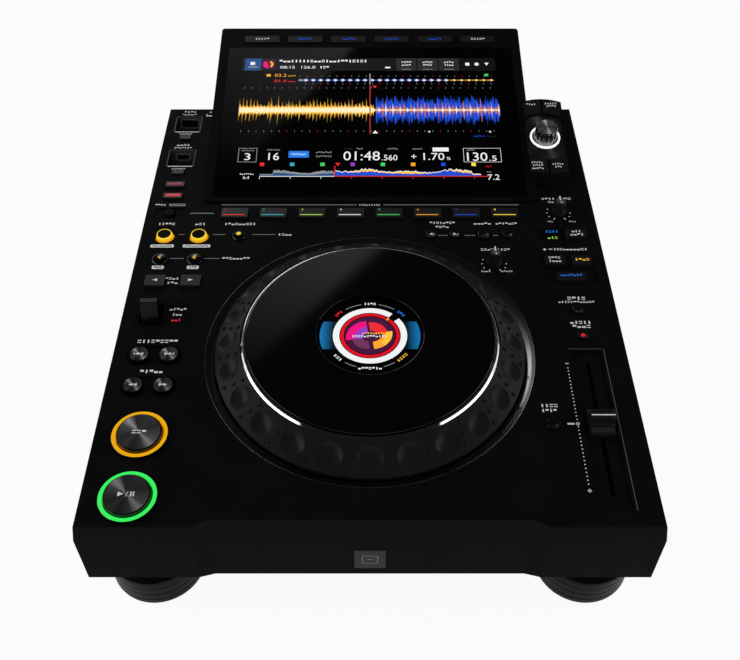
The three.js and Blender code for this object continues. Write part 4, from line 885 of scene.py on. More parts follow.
def make_jog_display():
    low, high = JOG_GLASS_TOP, JOG_GLASS_TOP + INK
    turned("jog_display_window", jog, rounded([
        (0, -9), (JOG_GLASS_RADIUS, -9), (JOG_GLASS_RADIUS, low), (0, low),
    ], 0.12, steps=2), 192, "glass", "player", ("jog_display",))

    def lamp(color):
        return marks("screen", color, plane=jog)

    for color, inner, outer, start, end, thickness, steps, x, y in JOG_PICTURE:
        lamp(color).arc(inner, outer, start, end, low, low + thickness, steps, x, y)
    strip(lamp("white"), -0.4, -0.9, 22, 1.7, high, 17, low + 1.4 * INK)
    strip(lamp("amber"), 1.4, 1.7, 13, 1.5, high, 18, low + 1.4 * INK)
    panel = Form(jog)
    shares = [i / PANEL_STEPS for i in range(2 * PANEL_STEPS + 1)]
    for side in (-1, 1):
        rim = [(side * PANEL_RIM * math.cos(a), PANEL_RIM * math.sin(a))
               for a in (PANEL_HALF_ANGLE * (share - 1) for share in shares)]
        root = [(side * math.sqrt(PANEL_ROOT ** 2 - y * y), y)
                for y in (rim[-1][1] * (1 - share) for share in shares)]
        panel.prism((rim + root)[::side], low, high)
    piece("jog_side_panels", panel, "side_panel", "player")
    for angle, color, width in JOG_WORDS:
        turn = 180 - angle if 90 < abs(angle) else -angle
        a = math.radians(angle)
        x, y = JOG_WORD_RADIUS * math.sin(a), JOG_WORD_RADIUS * math.cos(a)
        strip(lamp(color), x, y, width, 1.9, low, angle, high, turn)
    for start, end in JOG_ARCS:
        lamp("grey").arc(27.2, 27.6, start, end, low, high, 16)


# Round buttons

TRANSPORT_RISE = 4.2
GLOW_INNER = 14.3
GLOW_OUTER = 16.7
GLOW_RISE = 2.4
COLLAR_RISE = 1.9
CAP_FOOT = -4.2
CAP_FLANGE = 1.2
FLANGE_TOP = -2.8
SEARCH_RISE = 2.2
# Radius, rise, radius and depth of the face, rounding of its edge and steps
TRANSPORT_CAP = (13.6, TRANSPORT_RISE, 12.7, 0.4, 0.25, 128)
SEARCH_CAP = (6.6, SEARCH_RISE, 5.8, 0.2, 0.12, 72)
LOOP_RADIUS = 6.15
LOOP_RISE = 2.7
LOOP_CROWN = 5.2
LOOP_FLANGE = 1.85
DOME_SHOULDER = 0.5
DOME_STEPS = 10


def cap_profile(radius, top_pairs, flange=CAP_FLANGE):
    """A cap's outline from its flange up, closed by a top given from the rim inwards."""
    return [(0, CAP_FOOT), (radius + flange, CAP_FOOT), (radius + flange, FLANGE_TOP),
            (radius, FLANGE_TOP), *top_pairs]


def domed_cap(radius, rise):
    dome = []
    for i in range(DOME_STEPS + 1):
        angle = math.pi / 2 * i / DOME_STEPS
        dome.append((radius * math.cos(angle), DOME_SHOULDER + (rise - DOME_SHOULDER) * math.sin(angle)))
    return cap_profile(radius, [(radius, DOME_SHOULDER), *dome])


def spun_button(node, cap, cap_finish, face_finish):
    """A button of a dark cap and a flat spun face in its top."""
    radius, rise, face_radius, depth, edge, steps = cap
    place, low = on_deck(node), rise - depth
    top = rounded([(radius, 0), (radius, low), (0, low)], 0.5)[1:]
    turned(f"{node}_cap", deck, cap_profile(radius, top), steps, cap_finish, node, (node,),
           place)
    face = rounded([(0, low), (face_radius, low), (face_radius, rise), (0, rise)], edge)
    turned(f"{node}_face", deck, face, steps, face_finish, node, at=place)
    return place


def make_transport():
    outer, low, high = GLOW_OUTER, TRANSPORT_RISE, TRANSPORT_RISE + INK
    collar = [(outer - 0.1, 0), (outer + 0.3, 0), (outer + 0.3, COLLAR_RISE - 0.2),
              (outer + 0.1, COLLAR_RISE), (outer - 0.1, COLLAR_RISE)]
    tube = rounded([(GLOW_INNER, -2.5), (outer, -2.5), (outer, GLOW_RISE), (GLOW_INNER, GLOW_RISE)], 0.8,
                   closed=True)
    for name, color in (("cue", "orange"), ("play", "green")):
        place = spun_button(f"{name}_button", TRANSPORT_CAP, "gloss", "spun")
        ring, light = f"{name}_light_ring", f"{color}_light"
        turned(f"{ring}_collar", deck, collar, 128, "gloss", "player", at=place, closed=True)
        turned(f"{ring}_tube", deck, tube, 128, light, "player", (ring,), place, True)
    play, cue = on_deck("play_button"), on_deck("cue_button")
    sign = marks("print", "white", "play_button")
    triangle(sign, play.x - 3.4, play.y, 3.4, 3.2, low, high)
    stroke = ((-0.7, -1.7), (-0.3, -1.7), (0.9, 1.7), (0.5, 1.7))
    sign.prism([(play.x + x, play.y + y) for x, y in stroke], low, high)
    for x in (2.4, 3.9):
        sign.box(play.x + x, play.y, 0.8, 3.2, low, high)
    strip(marks("print", "white", "cue_button"), cue.x, cue.y, 8.4, 2.6, low, 5)


def make_search():
    low, high = SEARCH_RISE, SEARCH_RISE + INK
    for name in ("track", "search"):
        for side, way in (("back", -1), ("forward", 1)):
            node = f"{name}_{side}_button"
            place = spun_button(node, SEARCH_CAP, "flat_black", "spun_dark")
            sign = marks("print", "white", node)
            for x in (-1.35, 1.35):
                triangle(sign, place.x + x, place.y, way * 2.6, 2.2, low, high)
            if name == "track":
                sign.box(place.x + way * 3.1, place.y, 0.5, 2.2, low, high)


def make_loops():
    inner, floor = LOOP_CROWN - 0.5, LOOP_RISE - 0.5
    shell = cap_profile(LOOP_RADIUS, rounded([
        (LOOP_RADIUS, 0), (LOOP_CROWN, LOOP_RISE), (inner, LOOP_RISE), (inner, floor), (0, floor),
    ], 0.25), LOOP_FLANGE)
    lid = rounded([(0, floor), (LOOP_CROWN - 0.45, floor), (LOOP_CROWN - 0.45, LOOP_RISE - 0.1),
                   (0, LOOP_RISE - 0.1)], 0.2)
    for node in ("loop_in_button", "loop_out_button"):
        place = on_deck(node)
        turned(f"{node}_cap", deck, shell, 80, "loop_light", node, (node,), place)
        turned(f"{node}_lid", deck, lid, 80, "flat_black", node, at=place)
    node = "reloop_button"
    place = on_deck(node)
    turned("reloop_dome", deck, domed_cap(5, 2.8), 72, "gloss", node, (node,), place)
    window = marks("legend", "yellow", node)
    window.turn([(0, 2.5), (1.9, 2.5), (1.5, 2.82), (0, 2.86)], 32, place.x, place.y + 0.2)


BEAT_LOOP_RADIUS = 5.7
BEAT_LOOP_RISE = 2.8
BEAT_SPAN = 24.5
SMALL_RISE = 1.6
# Places and radii of the small caps
MEMORY_CAPS = ((43.75, 3.6), (60.95, 3.6), (81.65, 4.4), (99.05, 3.6))
TEMPO_CAPS = ((138.6, 165.15, 3.6), (138.6, 142.3, 3.6), (110.1, 70.7, 4.3))
CARRIER_WIDTH = 5
CARRIER_THICKNESS = 0.7
# The tempo caps' carrier passes the fader's opening at this distance from the first cap
CARRIER_PASS = 18.8 / 2 + 2 + 0.6 + CARRIER_WIDTH


def carrier(form, x, y, width, depth=CARRIER_WIDTH):
    form.box(x, y, width, depth, CAP_FOOT, CAP_FOOT + CARRIER_THICKNESS)


def make_beat_loops():
    node = "beat_loop_buttons"
    centre = on_deck(node)
    form = Form(deck)
    for side, digit in ((-1, "4"), (1, "8")):
        x = centre.x + side * BEAT_SPAN / 2
        form.turn(domed_cap(BEAT_LOOP_RADIUS, BEAT_LOOP_RISE), 72, x, centre.y)
        sign = marks("legend", "amber", node)
        sign.text(digit, x, centre.y, 3.2, BEAT_LOOP_RISE - 0.35, BEAT_LOOP_RISE + INK)
    carrier(form, centre.x, centre.y, BEAT_SPAN)
    piece("beat_loop_domes", form, "gloss", node, (node,))


def small_cap(form, x, y, radius):
    form.turn(cap_profile(radius, rounded([
        (radius, 0), (radius, SMALL_RISE), (radius * 0.78, SMALL_RISE), (radius * 0.4, SMALL_RISE - 0.55),
        (0, SMALL_RISE - 0.65),
    ], 0.5)[1:]), 56, x, y)


def make_small_caps():
    node = "memory_buttons"
    row = on_deck(node).y
    form = Form(deck)
    for x, radius in MEMORY_CAPS:
        small_cap(form, x, row, radius)
    first, last = MEMORY_CAPS[0][0], MEMORY_CAPS[-1][0]
    carrier(form, (first + last) / 2, row, last - first)
    piece("memory_caps", form, "satin_dome", node, (node,))
    sign = marks("print", "white", node)
    for i, way in ((0, -1), (1, 1)):
        triangle(sign, MEMORY_CAPS[i][0], row, way * 2.4, 2.2, SMALL_RISE - 0.4, SMALL_RISE)
    node = "tempo_buttons"
    form = Form(deck)
    for x, y, radius in TEMPO_CAPS:
        small_cap(form, x, y, radius)
    (x, first_row, _), (_, second_row, _), (reset_x, reset_row, _) = TEMPO_CAPS
    left = x - CARRIER_PASS
    carrier(form, x, (first_row + second_row) / 2, CARRIER_WIDTH, first_row - second_row)
    carrier(form, (left + x) / 2, second_row, x - left)
    carrier(form, left + CARRIER_WIDTH / 2, (reset_row + second_row) / 2, CARRIER_WIDTH,
            second_row - reset_row)
    carrier(form, (reset_x + left) / 2, reset_row, left - reset_x + CARRIER_WIDTH)
    piece("tempo_caps", form, "satin_dome", node, (node,))
    marks("legend", "red", node).turn([(0, 1.0), (1.5, 1.0), (1.2, 1.55), (0, 1.65)], 32, x, second_row)


# Knobs that turn

DIAL_HEIGHT = 11.8
DIAL_TOP = 3.7
DIAL_FLUTES = 16
# Radius, height and depth of the flutes
DIAL_LEVELS = ((3.0, -8, 0), (3.0, 0.4, 0), (5.2, 0.4, 0), (5.3, 2.6, 0), (4.85, 3.1, 0.24),
               (DIAL_TOP + 0.35, DIAL_HEIGHT - 1.2, 0.22), (DIAL_TOP, DIAL_HEIGHT - 0.5, 0.05),
               (DIAL_TOP - 0.35, DIAL_HEIGHT, 0))
DIAL_DOTS = (-62, -91, -120, 91, 119)
DIAL_DOT_RADIUS = 8.5
DIAL_ENDS = (-150, 150)


def fluted(form, levels, steps, flute, x=0, y=0):
    """A knob's side from radius, height and flute depth at each level."""
    rings = []
    for radius, z, depth in levels:
        ring = []
        for i in range(steps):
            angle = 2 * math.pi * i / steps
            r = radius - depth * flute(angle)
            ring.append((x + r * math.cos(angle), y + r * math.sin(angle), z))
        rings.append(ring)
    form.stack(rings)


def make_dials():
    for node in ("speed_knob", "feel_knob"):
        place = deck.local(joints[node.replace("knob", "turn")]["pos_m"])
        form = Form(deck)
        fluted(form, DIAL_LEVELS, 96, lambda angle: (1 + math.cos(DIAL_FLUTES * angle)) / 2, place.x, place.y)
        piece(f"{node}_body", form, "key", node, (node,))
        low, high = DIAL_HEIGHT - 0.2, DIAL_HEIGHT + 0.12
        top = [(0, low), (DIAL_TOP - 0.5, low), (DIAL_TOP - 0.6, high), (0, high)]
        turned(f"{node}_top", deck, top, 56, "spun_knob", node, at=place)
        pointer = marks("print", "white", node)
        pointer.box(place.x, place.y + 2.6, 0.8, 4.2, DIAL_HEIGHT - 0.3, DIAL_HEIGHT + 0.3)
        scale = marks("print", "white")
        for angle in DIAL_DOTS:
            x = place.x + DIAL_DOT_RADIUS * math.sin(math.radians(angle))
            y = place.y + DIAL_DOT_RADIUS * math.cos(math.radians(angle))
            scale.prism(circle(x, y, 0.5, 12), 0, INK)
        for angle in DIAL_ENDS:
            a = math.radians(angle)
            side, ahead = Vector((math.cos(a), -math.sin(a))), Vector((math.sin(a), math.cos(a)))
            start, end = Vector((place.x, place.y)) + 6.6 * ahead, Vector((place.x, place.y)) + 8.8 * ahead
            scale.prism([tuple(start - 0.3 * side), tuple(start + 0.3 * side), tuple(end + 0.3 * side),
                         tuple(end - 0.3 * side)], 0, INK)


# Fader, lever, sockets and pads

FADER_WIDTH = 14.5
FADER_LOW = -0.9
FADER_TOP = 10.6
FADER_SIDE = (
    (-9.5, FADER_LOW), (-9.5, 2.6), (-8.9, 3.3), (-4.9, 4.6), (-3.9, 5.6), (-3.5, 10.2), (-3.1, FADER_TOP),
    (3.1, FADER_TOP), (3.5, 10.2), (3.9, 5.6), (4.9, 4.6), (8.9, 3.3), (9.5, 2.6), (9.5, FADER_LOW),
)
# Half width, front, back, and height at the front and back of the grip's underside and top
GRIP = ((7, 8.5, 5.3, 3.2, 4.3), (6.9, 8.4, 5.4, 3.56, 4.56))
END_EDGE = 0.3


def side_form(form, outline, x, width, y):
    """A side outline carried across the width, drawn in a little at both ends."""
    rings = []
    centre_y = sum(py for py, _ in outline) / len(outline)
    centre_z = sum(pz for _, pz in outline) / len(outline)
    for across, share in ((-width / 2, END_EDGE), (-width / 2 + END_EDGE, 0), (width / 2 - END_EDGE, 0),
                          (width / 2, END_EDGE)):
        ring = []
        for py, pz in outline:
            away = Vector((py - centre_y, pz - centre_z))
            drawn = away * (1 - share / max(away.length, share))
            ring.append((x + across, y + centre_y + drawn.x, centre_z + drawn.y))
        rings.append(ring)
    form.stack(rings)


def make_fader():
    node = "tempo_fader"
    x, y, _ = on_deck(node)
    form = Form(deck)
    side_form(form, rounded(FADER_SIDE, 0.5, closed=True, steps=3), x, FADER_WIDTH, y)
    form.box(x, y, 1.8, 5.4, -12, FADER_LOW)
    piece("tempo_fader_cap", form, "key", node, (node,))
    marks("print", "white", node).box(x, y - 0.7, FADER_WIDTH - 0.4, 0.8, FADER_TOP, FADER_TOP + INK)
    grip = Form(deck)
    grip.stack([[(x - half, y - front, low), (x + half, y - front, low), (x + half, y - back, high),
                 (x - half, y - back, high)] for half, front, back, low, high in GRIP])
    piece("tempo_fader_grip", grip, "socket", node)
    low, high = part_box("fader_plate")
    corner, opposite = deck.local(low), deck.local(high)
    # Thin pale lines along the opening's right and rear edges: painted highlights of those edges, drawn as
    # print
    rim = marks("print", "edge")
    rim.box(opposite.x + 0.1, (corner.y + opposite.y) / 2, 0.4, opposite.y - corner.y - 1, -0.3, INK)
    rim.box((corner.x + opposite.x) / 2, opposite.y + 0.1, opposite.x - corner.x - 1, 0.3, -0.3, INK)


LEVER_WIDTH = 11.2
LEVER_SIDE = (
    (-4.2, -8.2), (-6.8, -3.4), (-7.0, -0.6), (-1.5, 12.6), (-1.0, 13.0), (1.8, 13.0), (2.4, 12.6),
    (3.4, 6.0), (4.2, -2.0), (4.2, -8.2),
)
LEVER_PIT = 15.6
PIN_RADIUS = 1.8
PIN_STEPS = 24
BEZEL_WIDTH = 36.5
BEZEL_RIM = 2.4
WINDOW_WIDTH = 14.4
# Words in the bezel's window: row, kind, colour, width and seed
LEVER_WORDS = ((5.0, "print", "white", 11.0, 95), (0.2, "print", "white", 6.4, 61),
               (-4.8, "legend", "red", 6.0, 26))


def make_lever():
    node = "direction_lever"
    place = deck.local(joints["direction_tilt"]["pos_m"])
    form = Form(deck)
    side_form(form, rounded(LEVER_SIDE, 0.7, closed=True, steps=3), place.x, LEVER_WIDTH, place.y)
    reach = LEVER_PIT / 2 + PIN_RADIUS - 0.3
    turns = [2 * math.pi * i / PIN_STEPS for i in range(PIN_STEPS)]
    form.stack([[(x, place.y + PIN_RADIUS * math.cos(a), place.z + PIN_RADIUS * math.sin(a)) for a in turns]
                for x in (place.x - reach, place.x + reach)])
    piece("direction_paddle", form, "smoked", node, (node,))
    crown = Form(deck)
    keycap(crown, place.x, place.y + 0.4, LEVER_WIDTH - 0.4, 3.4, 12.6, 13.05, 0.4, 0.15)
    piece("direction_paddle_crown", crown, "socket", node)
    bezel = on_deck("lever_bezel")
    x = bezel.x + BEZEL_WIDTH / 2 - BEZEL_RIM - WINDOW_WIDTH / 2
    for row, kind, color, width, seed in LEVER_WORDS:
        strip(marks(kind, color), x, bezel.y + row, width, 2.3, -0.6, seed)


PORT_STEP = 44.1
PORT_REACH = 10.45
PORT_FACE = ((7.25, -4.7), (5.3, 9.4))
# Frame's outside, its inside and the socket's opening: width, height and corner, narrow socket first
PORT_FRAMES = (
    ((11.6, 5.4, 2.6), (10.6, 4.4, 2.1), (8.8, 3, 0.6)),
    ((14.8, 7.2, 1.6), (13.8, 6.2, 1.3), (12.8, 5.2, 0.6)),
)


def add_frame(form, x, y, outer, inner, low, high):
    """A frame between two rounded rectangles, each given by width, depth and corner."""
    form.frame(round_rectangle(x, y, *outer), round_rectangle(x, y, *inner), low, high)


def make_ports():
    """The steep face of each storage pocket, given a paler colour than its floor as painted light, with a
    thin frame round the socket.
    """
    low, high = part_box("storage_sockets")
    column = deck.local((low + high) / 2).x
    first = deck.local(low).y + PORT_REACH
    (ahead, down), (run, climb) = PORT_FACE
    for i, (outer, inner, slot) in enumerate(PORT_FRAMES):
        row = first + i * PORT_STEP
        face = Plane(deck.at(column, row + ahead, down), deck.along * run + deck.up * climb)
        # Painted light: a paler sheet on the steep face, lighter than the pocket's floor
        panel = Form(face)
        add_frame(panel, 0, 0, (19.2, 10.2, 0.4), slot, 0, INK)
        piece(f"port_face_{i + 1}", panel, "socket", "player")
        rim = Form(face)
        add_frame(rim, 0, 0, outer, inner, INK, 3 * INK)
        finish = ink(f"port_frame_ink_{i + 1}", COLORS["edge"])
        piece(f"port_frame_{i + 1}", rim, finish, "player")
        marks("print", "edge").box(column, row - 9.75, 19.4, 0.35, -0.3, INK)


JACK_COLUMNS = (8, 24, 40)
JACK_AXIS = 6.5
JACK_PROUD = 6
NETWORK_COLUMN = 60
COMPUTER_COLUMN = 84
# Place of a shell, and width, height and corner of its outside and its opening
SHELLS = (
    (NETWORK_COLUMN, (16.4, 13.8, 0.5), (11.6, 7.6, 0.3)),
    (COMPUTER_COLUMN, (12.8, 11.8, 0.5), (8, 8, 0.3)),
)
SHELL_DEPTH = 0.9
INLET_HEIGHT = 19.5
INLET_PROUD = 1.2
INLET_PINS = ((-5.5, -1.6), (0, 2.6), (5.5, -1.6))
SCREW_PROFILE = ((0, 0.2), (2.9, 0.2), (2.9, -0.5), (2.2, -1.1), (1.0, -1.2), (0, -0.5))


def make_rear():
    """Sleeves, shells, pins and screws on the rear wall, with plain strips in place of words."""
    board_low, board_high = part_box("socket_board")
    chassis_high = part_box("bottom_chassis")[1]
    axis = (board_high.z - board_low.z) / MM - JACK_AXIS
    rear = Plane((0, chassis_high.y, board_low.z + axis * MM), (0, 0, 1))

    sleeves = Form(rear)
    tip = -JACK_PROUD - 0.1
    sleeve = [(3.4, 0), (4.75, 0), (4.75, -JACK_PROUD + 0.4), (4.4, tip), (3.4, tip)]
    for x in JACK_COLUMNS:
        sleeves.turn(sleeve, 48, x, 0, closed=True)
        sleeves.turn([(4.6, 0), (6.2, 0), (6.2, -0.7), (4.6, -0.9)], 6, x, 0, closed=True)
    piece("jack_sleeves", sleeves, "fastener", "player")
    shells = Form(rear)
    for x, outer, inner in SHELLS:
        add_frame(shells, x, 0, outer, inner, -SHELL_DEPTH, 0)
    piece("socket_shells", shells, "fastener", "player")
    low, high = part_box("power_supply")
    column = (low.x + high.x) / 2 / MM
    row = ((high.z - board_low.z) / MM) - axis - INLET_HEIGHT / 2
    inlet = Form(rear)
    add_frame(inlet, column, row, (31, 23.5, 2.5), (22.8, 15.3, 2.5), -INLET_PROUD - 0.5, 0)
    piece("inlet_flange", inlet, "key", "player")
    pins = Form(rear)
    for x, y in INLET_PINS:
        pins.box(column + x, row + y, 1.2, 4.2, -1.0, 12.0)
    screws = [(column + side * 20, row) for side in (-1, 1)]
    screws += [(x, y) for x in (-2.5, 98) for y in (-8, 8)]
    for x, y in screws:
        pins.turn(SCREW_PROFILE, 32, x, y)
    piece("rear_pins", pins, "fastener", "player")
    words = [(x, 12.5, 9) for x in JACK_COLUMNS]
    words += [(NETWORK_COLUMN, 12.5, 13), (COMPUTER_COLUMN, 12.5, 9), (column, row + 17, 20)]
    for seed, (x, above, width) in enumerate(words, 160):
        strip(marks("print", "white", plane=rear), x, above, width, 2.2, -INK, seed, 0)


PAD_COLORS = ("red", "cyan", "lime", "white", "green", "orange", "blue", "yellow")
PAD_RISE = 2.0


def make_pads():
    low, high = PAD_RISE, PAD_RISE + INK
    for i, (letter, color) in enumerate(zip("abcdefgh", PAD_COLORS)):
        node = f"hot_cue_pad_{letter}"
        place = on_deck(node)
        form = Form(deck)
        keycap(form, place.x, place.y, 20, 10.4, FLANGE_TOP, PAD_RISE, 0.6, 0.45)
        form.box(place.x, place.y, 22.4, 12.8, CAP_FOOT, FLANGE_TOP)
        piece(f"{node}_cap", form, "key", node, (node,))
        sign = marks("legend", color, node)
        sign.box(place.x - 0.6, place.y - 2.5, 16.2, 0.9, low, high)
        sign.text(str(i + 1), place.x - 7.3, place.y + 3.2, 2.2, low, high)


KEY_RISE = 2.2
RED_KEY_RISE = 2.0
MEDIA_COLUMN = -147.3
# Lit bars of the two red keys: kind, shift, row, width, width of the word and its seed
RED_KEYS = (("halo", -0.3, 295.8, 12.0, 9.6, 3), ("legend", 0.1, 282.5, 11.0, 7.0, 4))
# Words on the sync keys: kind, colour, place across and along, width, height and a seed
SYNC_WORDS = (
    ("print", "white", 148.05 + 0.1, 239.9 + 1.9, 6.6, 2.1, 21),
    ("print", "white", 148.05 + 0.1, 239.9 - 1.5, 9.6, 2.1, 22),
    ("print", "white", 129.15 - 0.3, 212.2 + 2.1, 8.2, 2.1, 23),
    ("print", "white", 129.15 - 0.1, 212.2 - 1.2, 8.6, 2.1, 24),
    ("legend", "amber", 148.05, 212.2 + 0.3, 9.9, 2.3, 25),
    ("legend", "sky", 138.6 - 0.2, 195.7 + 1.2, 14.8, 2.0, 26),
)


def make_key_signs():
    jumps = marks("print", "white", "beat_jump_keys")
    x, y, _ = on_deck("beat_jump_keys")
    for way in (-1, 1):
        triangle(jumps, x + way * BEAT_SPAN / 2, y + 0.2, way * 3.4, 2.6, KEY_RISE, KEY_RISE + INK)
    top = RED_KEY_RISE + INK
    for kind, shift, row, width, _, _ in RED_KEYS:
        marks(kind, "red", "media_keys").box(MEDIA_COLUMN + shift, row, width, 3.0, RED_KEY_RISE, top)
    for _, shift, row, _, width, seed in RED_KEYS:
        strip(marks("print", "grey", "media_keys"), MEDIA_COLUMN + shift, row, width, 1.5, top, seed)
    for kind, color, x, y, width, height, seed in SYNC_WORDS:
        strip(marks(kind, color, "sync_keys"), x, y, width, height, KEY_RISE, seed)


# Words on the deck become plain strips: place across and along, width and height
DECK_STRIPS = (
    (-147.6, 390.6, 9.5, 2.2), (-147.8, 387.0, 11.3, 1.6), (-147.8, 346.2, 10.2, 2.2),
    (-147.7, 342.6, 13.6, 1.7), (-146.9, 360.7, 8.0, 1.6), (-146.7, 316.0, 8.0, 1.6),
    (-155.2, 273.4, 7.9, 1.9), (-147.8, 252.1, 11.9, 2.5), (-123.3, 252.1, 7.2, 2.5),
    (-94.4, 252.1, 22.6, 2.4), (-61.3, 240.7, 9.6, 2.3), (-94.2, 215.8, 19.2, 2.3),
    (-136.1, 195.7, 8.9, 2.3), (-135.5, 191.5, 7.5, 2.3), (-137.6, 137.8, 25.9, 2.8),
    (-137.8, 112.3, 14.2, 2.8), (132.9, 280.3, 9.8, 2.2), (134.5, 276.7, 4.1, 1.8),
    (147.1, 280.5, 5.5, 2.2), (134.2, 225.2, 8.4, 2.2), (146.3, 225.2, 15.1, 2.2),
    (139.2, 176.8, 12.0, 2.7), (138.8, 173.3, 24.3, 1.8), (138.9, 154.5, 13.7, 2.7),
    (139.0, 150.9, 11.7, 2.7), (52.6, 253.4, 18.2, 2.2), (52.3, 248.9, 9.4, 2.2), (81.6, 252.6, 12.4, 2.2),
    (99.1, 252.6, 15.3, 2.2), (88.7, 224.9, 20.5, 2.2), (80.2, 202.9, 6.6, 1.6), (94.9, 202.9, 7.6, 1.6),
    (109.5, 85.1, 10.4, 2.4), (109.1, 81.3, 9.1, 2.4), (-0.4, 273.4, 15.7, 1.7), (131.4, 254.7, 3.6, 1.2),
    (147.6, 254.7, 5.1, 1.2),
)
# Thin grey lines along a row: middle, row, length and thickness
DECK_LINES = (
    (-123.7, 263.9, 17.4, 0.75), (-60.1, 273.5, 100.1, 0.8), (60.1, 273.5, 100.5, 0.8),
    (-135.4, 240.7, 4.3, 0.5), (-108.5, 240.7, 9.2, 0.5), (-76.3, 240.7, 16.8, 0.5),
    (-135.7, 215.7, 9.8, 0.5), (-110.8, 215.7, 10.9, 0.5), (52.3, 239.8, 7.0, 0.6), (71.9, 239.8, 7.8, 0.6),
    (90.1, 239.8, 3.6, 0.6),
)
# Pale lozenges: middle, row, width and height
DECK_PILLS = ((-147.8, 228.6, 16.6, 3.1), (-123.3, 228.6, 19.6, 3.1), (-147.7, 206.8, 8.3, 3.4),
              (-123.3, 206.8, 8.3, 3.4))
# Short bars beside words: place across and along, width and height
DECK_BARS = ((-152.2, 360.7, 1.6, 0.7), (-152.2, 316.0, 1.6, 0.7), (-131.7, 385.3, 4.9, 1.3),
             (-133.8, 386.9, 0.7, 2.0))
SCALE_X = 125.1
SCALE_FRONT = 28.2
SCALE_REAR = 115.3
SCALE_STEPS = 32
MODE_WINDOW = (131.4, 240.7, 19.6, 12.9)


def print_deck():
    white, grey = marks("print", "white"), marks("print", "grey")
    for seed, (x, y, width, height) in enumerate(DECK_STRIPS, 31):
        strip(white, x, y, width, height, 0, seed)
    for x, y, width, height in DECK_LINES:
        grey.box(x, y, width, height, 0, INK)
    black = marks("print", "black")
    for seed, (x, y, width, height) in enumerate(DECK_PILLS, 70):
        white.prism(round_rectangle(x, y, width, height, 1.0), 0, INK)
        strip(black, x, y, width - 3, height - 1.6, INK, seed)
    grey.prism(round_rectangle(-142.9, 273.4, 12.2, 2.6, 1.0), 0, INK)
    strip(black, -142.9, 273.4, 9.6, 1.3, INK, 75)
    for x, y, width, height in DECK_BARS:
        white.box(x, y, width, height, 0, INK)
    triangle(white, -130.6, 390.4, 2.2, 2.2, 0, INK)
    for y in (364.3, 320.1):
        white.box(-147.1, y - 0.9, 18.9, 0.8, 0, INK)
    white.prism(circle(123.7, 225.0, 1.0, 20), 0, INK)
    white.box(127.8, 225.2, 2.7, 0.7, 0, INK)
    print_scale(white)
    window = Form(deck)
    window.prism(round_rectangle(*MODE_WINDOW, 0.4), 0, 2 * INK)
    piece("mode_window", window, "gloss", "player")
    strip(marks("legend", "sky"), 131.0, 243.8, 9.0, 2.4, 2 * INK, 81)
    strip(marks("legend", "lime"), 130.9, 237.2, 7.0, 2.4, 2 * INK, 82)


def print_scale(form):
    """Dots along the fader with a ring at the middle, a minus at the rear and a plus at the front."""
    for i in range(SCALE_STEPS + 1):
        share = i / SCALE_STEPS
        if i != SCALE_STEPS // 2:
            form.prism(circle(SCALE_X, SCALE_REAR + (SCALE_FRONT - SCALE_REAR) * share, 0.44, 10), 0, INK)
    middle_row = (SCALE_FRONT + SCALE_REAR) / 2 - 0.5
    form.arc(0.55, 1.15, 0, 359.9, 0, INK, 24, SCALE_X, middle_row)
    form.box(SCALE_X - 4.1, middle_row, 4.3, 1.2, 0, INK)
    form.box(SCALE_X, SCALE_REAR + 3.6, 2.2, 0.6, 0, INK)
    form.box(SCALE_X, SCALE_FRONT - 4.4, 2.4, 0.7, 0, INK)
    form.box(SCALE_X, SCALE_FRONT - 4.4, 0.7, 2.4, 0, INK)


def front_sign():
    """A plain rounded square on the front pane."""
    low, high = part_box("front_window")
    face = Plane(((low.x + high.x) / 2, low.y, (low.z + high.z) / 2), (0, 0, 1))
    form = Form(face)
    form.frame(round_rectangle(0, 0, 9.4, 8.6, 1.6), round_rectangle(0, 0, 8.4, 7.6, 1.3), 0, INK)
    form.box(0, 0, 3.2, 0.8, 0, INK)
    piece("front_pane_sign", form, ink("front_sign_ink", COLORS["grey"]), "player")


# Tilted display

GLASS_LIFT = -0.1
SCREEN_LOW = GLASS_LIFT
SCREEN_HIGH = GLASS_LIFT + INK
MENU_KEYS = 6
MENU_PITCH = 36.05
MENU_ROW = 174.5
MENU_RISE = 1.2


def screen(color):
    return marks("screen", color, plane=slope)


def bar(color, x, u, width, height, layer=0):
    low = SCREEN_LOW + layer * INK / 3
    screen(color).box(x, u, width, height, low, low + INK / 3 + INK / 6)


def shape(color, outline):
    screen(color).prism(outline, SCREEN_LOW, SCREEN_HIGH)


def arrow(color, x, u, width, height, high=SCREEN_HIGH):
    triangle(screen(color), x, u, width, height, SCREEN_LOW, high)


def word(color, x, u, width, height, seed, low=SCREEN_LOW, high=SCREEN_HIGH):
    strip(screen(color), x, u, width, height, low, seed, high)


def number(words, x, u, height, width, color="white"):
    screen(color).text(words, x, u, height, SCREEN_LOW, SCREEN_HIGH, width)


def band(color, xs, lows, highs, layer):
    """A sheet between two curves, in one of the picture's thin layers."""
    low = SCREEN_LOW + layer * INK / 3
    screen(color).ribbon(xs, lows, highs, low, low + INK / 3)


WAVE_ROW = 93.5
WAVE_STEP = 0.3
WAVE_LEFT = -104
WAVE_CHANGE = 4.5
WAVE_RIGHT = 103
WAVE_BEAT = 5.6
# Layers of the wave: colour, least height, reach, shift, beat, decay, and a spike's least, most and chance
PLAYED_WAVES = (
    ("bronze", 3.4, 12.5, 0, WAVE_BEAT / 2, 2.4, 0.1, 1.1, 0.56),
    ("amber", 3.0, 9.0, 0, WAVE_BEAT / 2, 3.6, 0.15, 1.1, 0.5),
    ("cream", 2.2, 5.2, 0, WAVE_BEAT / 2, 3, 0.0, 1.4, 0.45),
)
COMING_WAVES = (
    ("blue", 5.0, 12.5, 0, WAVE_BEAT, 0.45, 0.1, 1.0, 0.8),
    ("rust", 0.9, 13.0, 1.2, WAVE_BEAT / 2, 2.8, 0.2, 1.0, 0.66),
    ("white", 0.5, 9.5, 1.2, WAVE_BEAT, 14, 0.5, 1.0, 0.6),
)


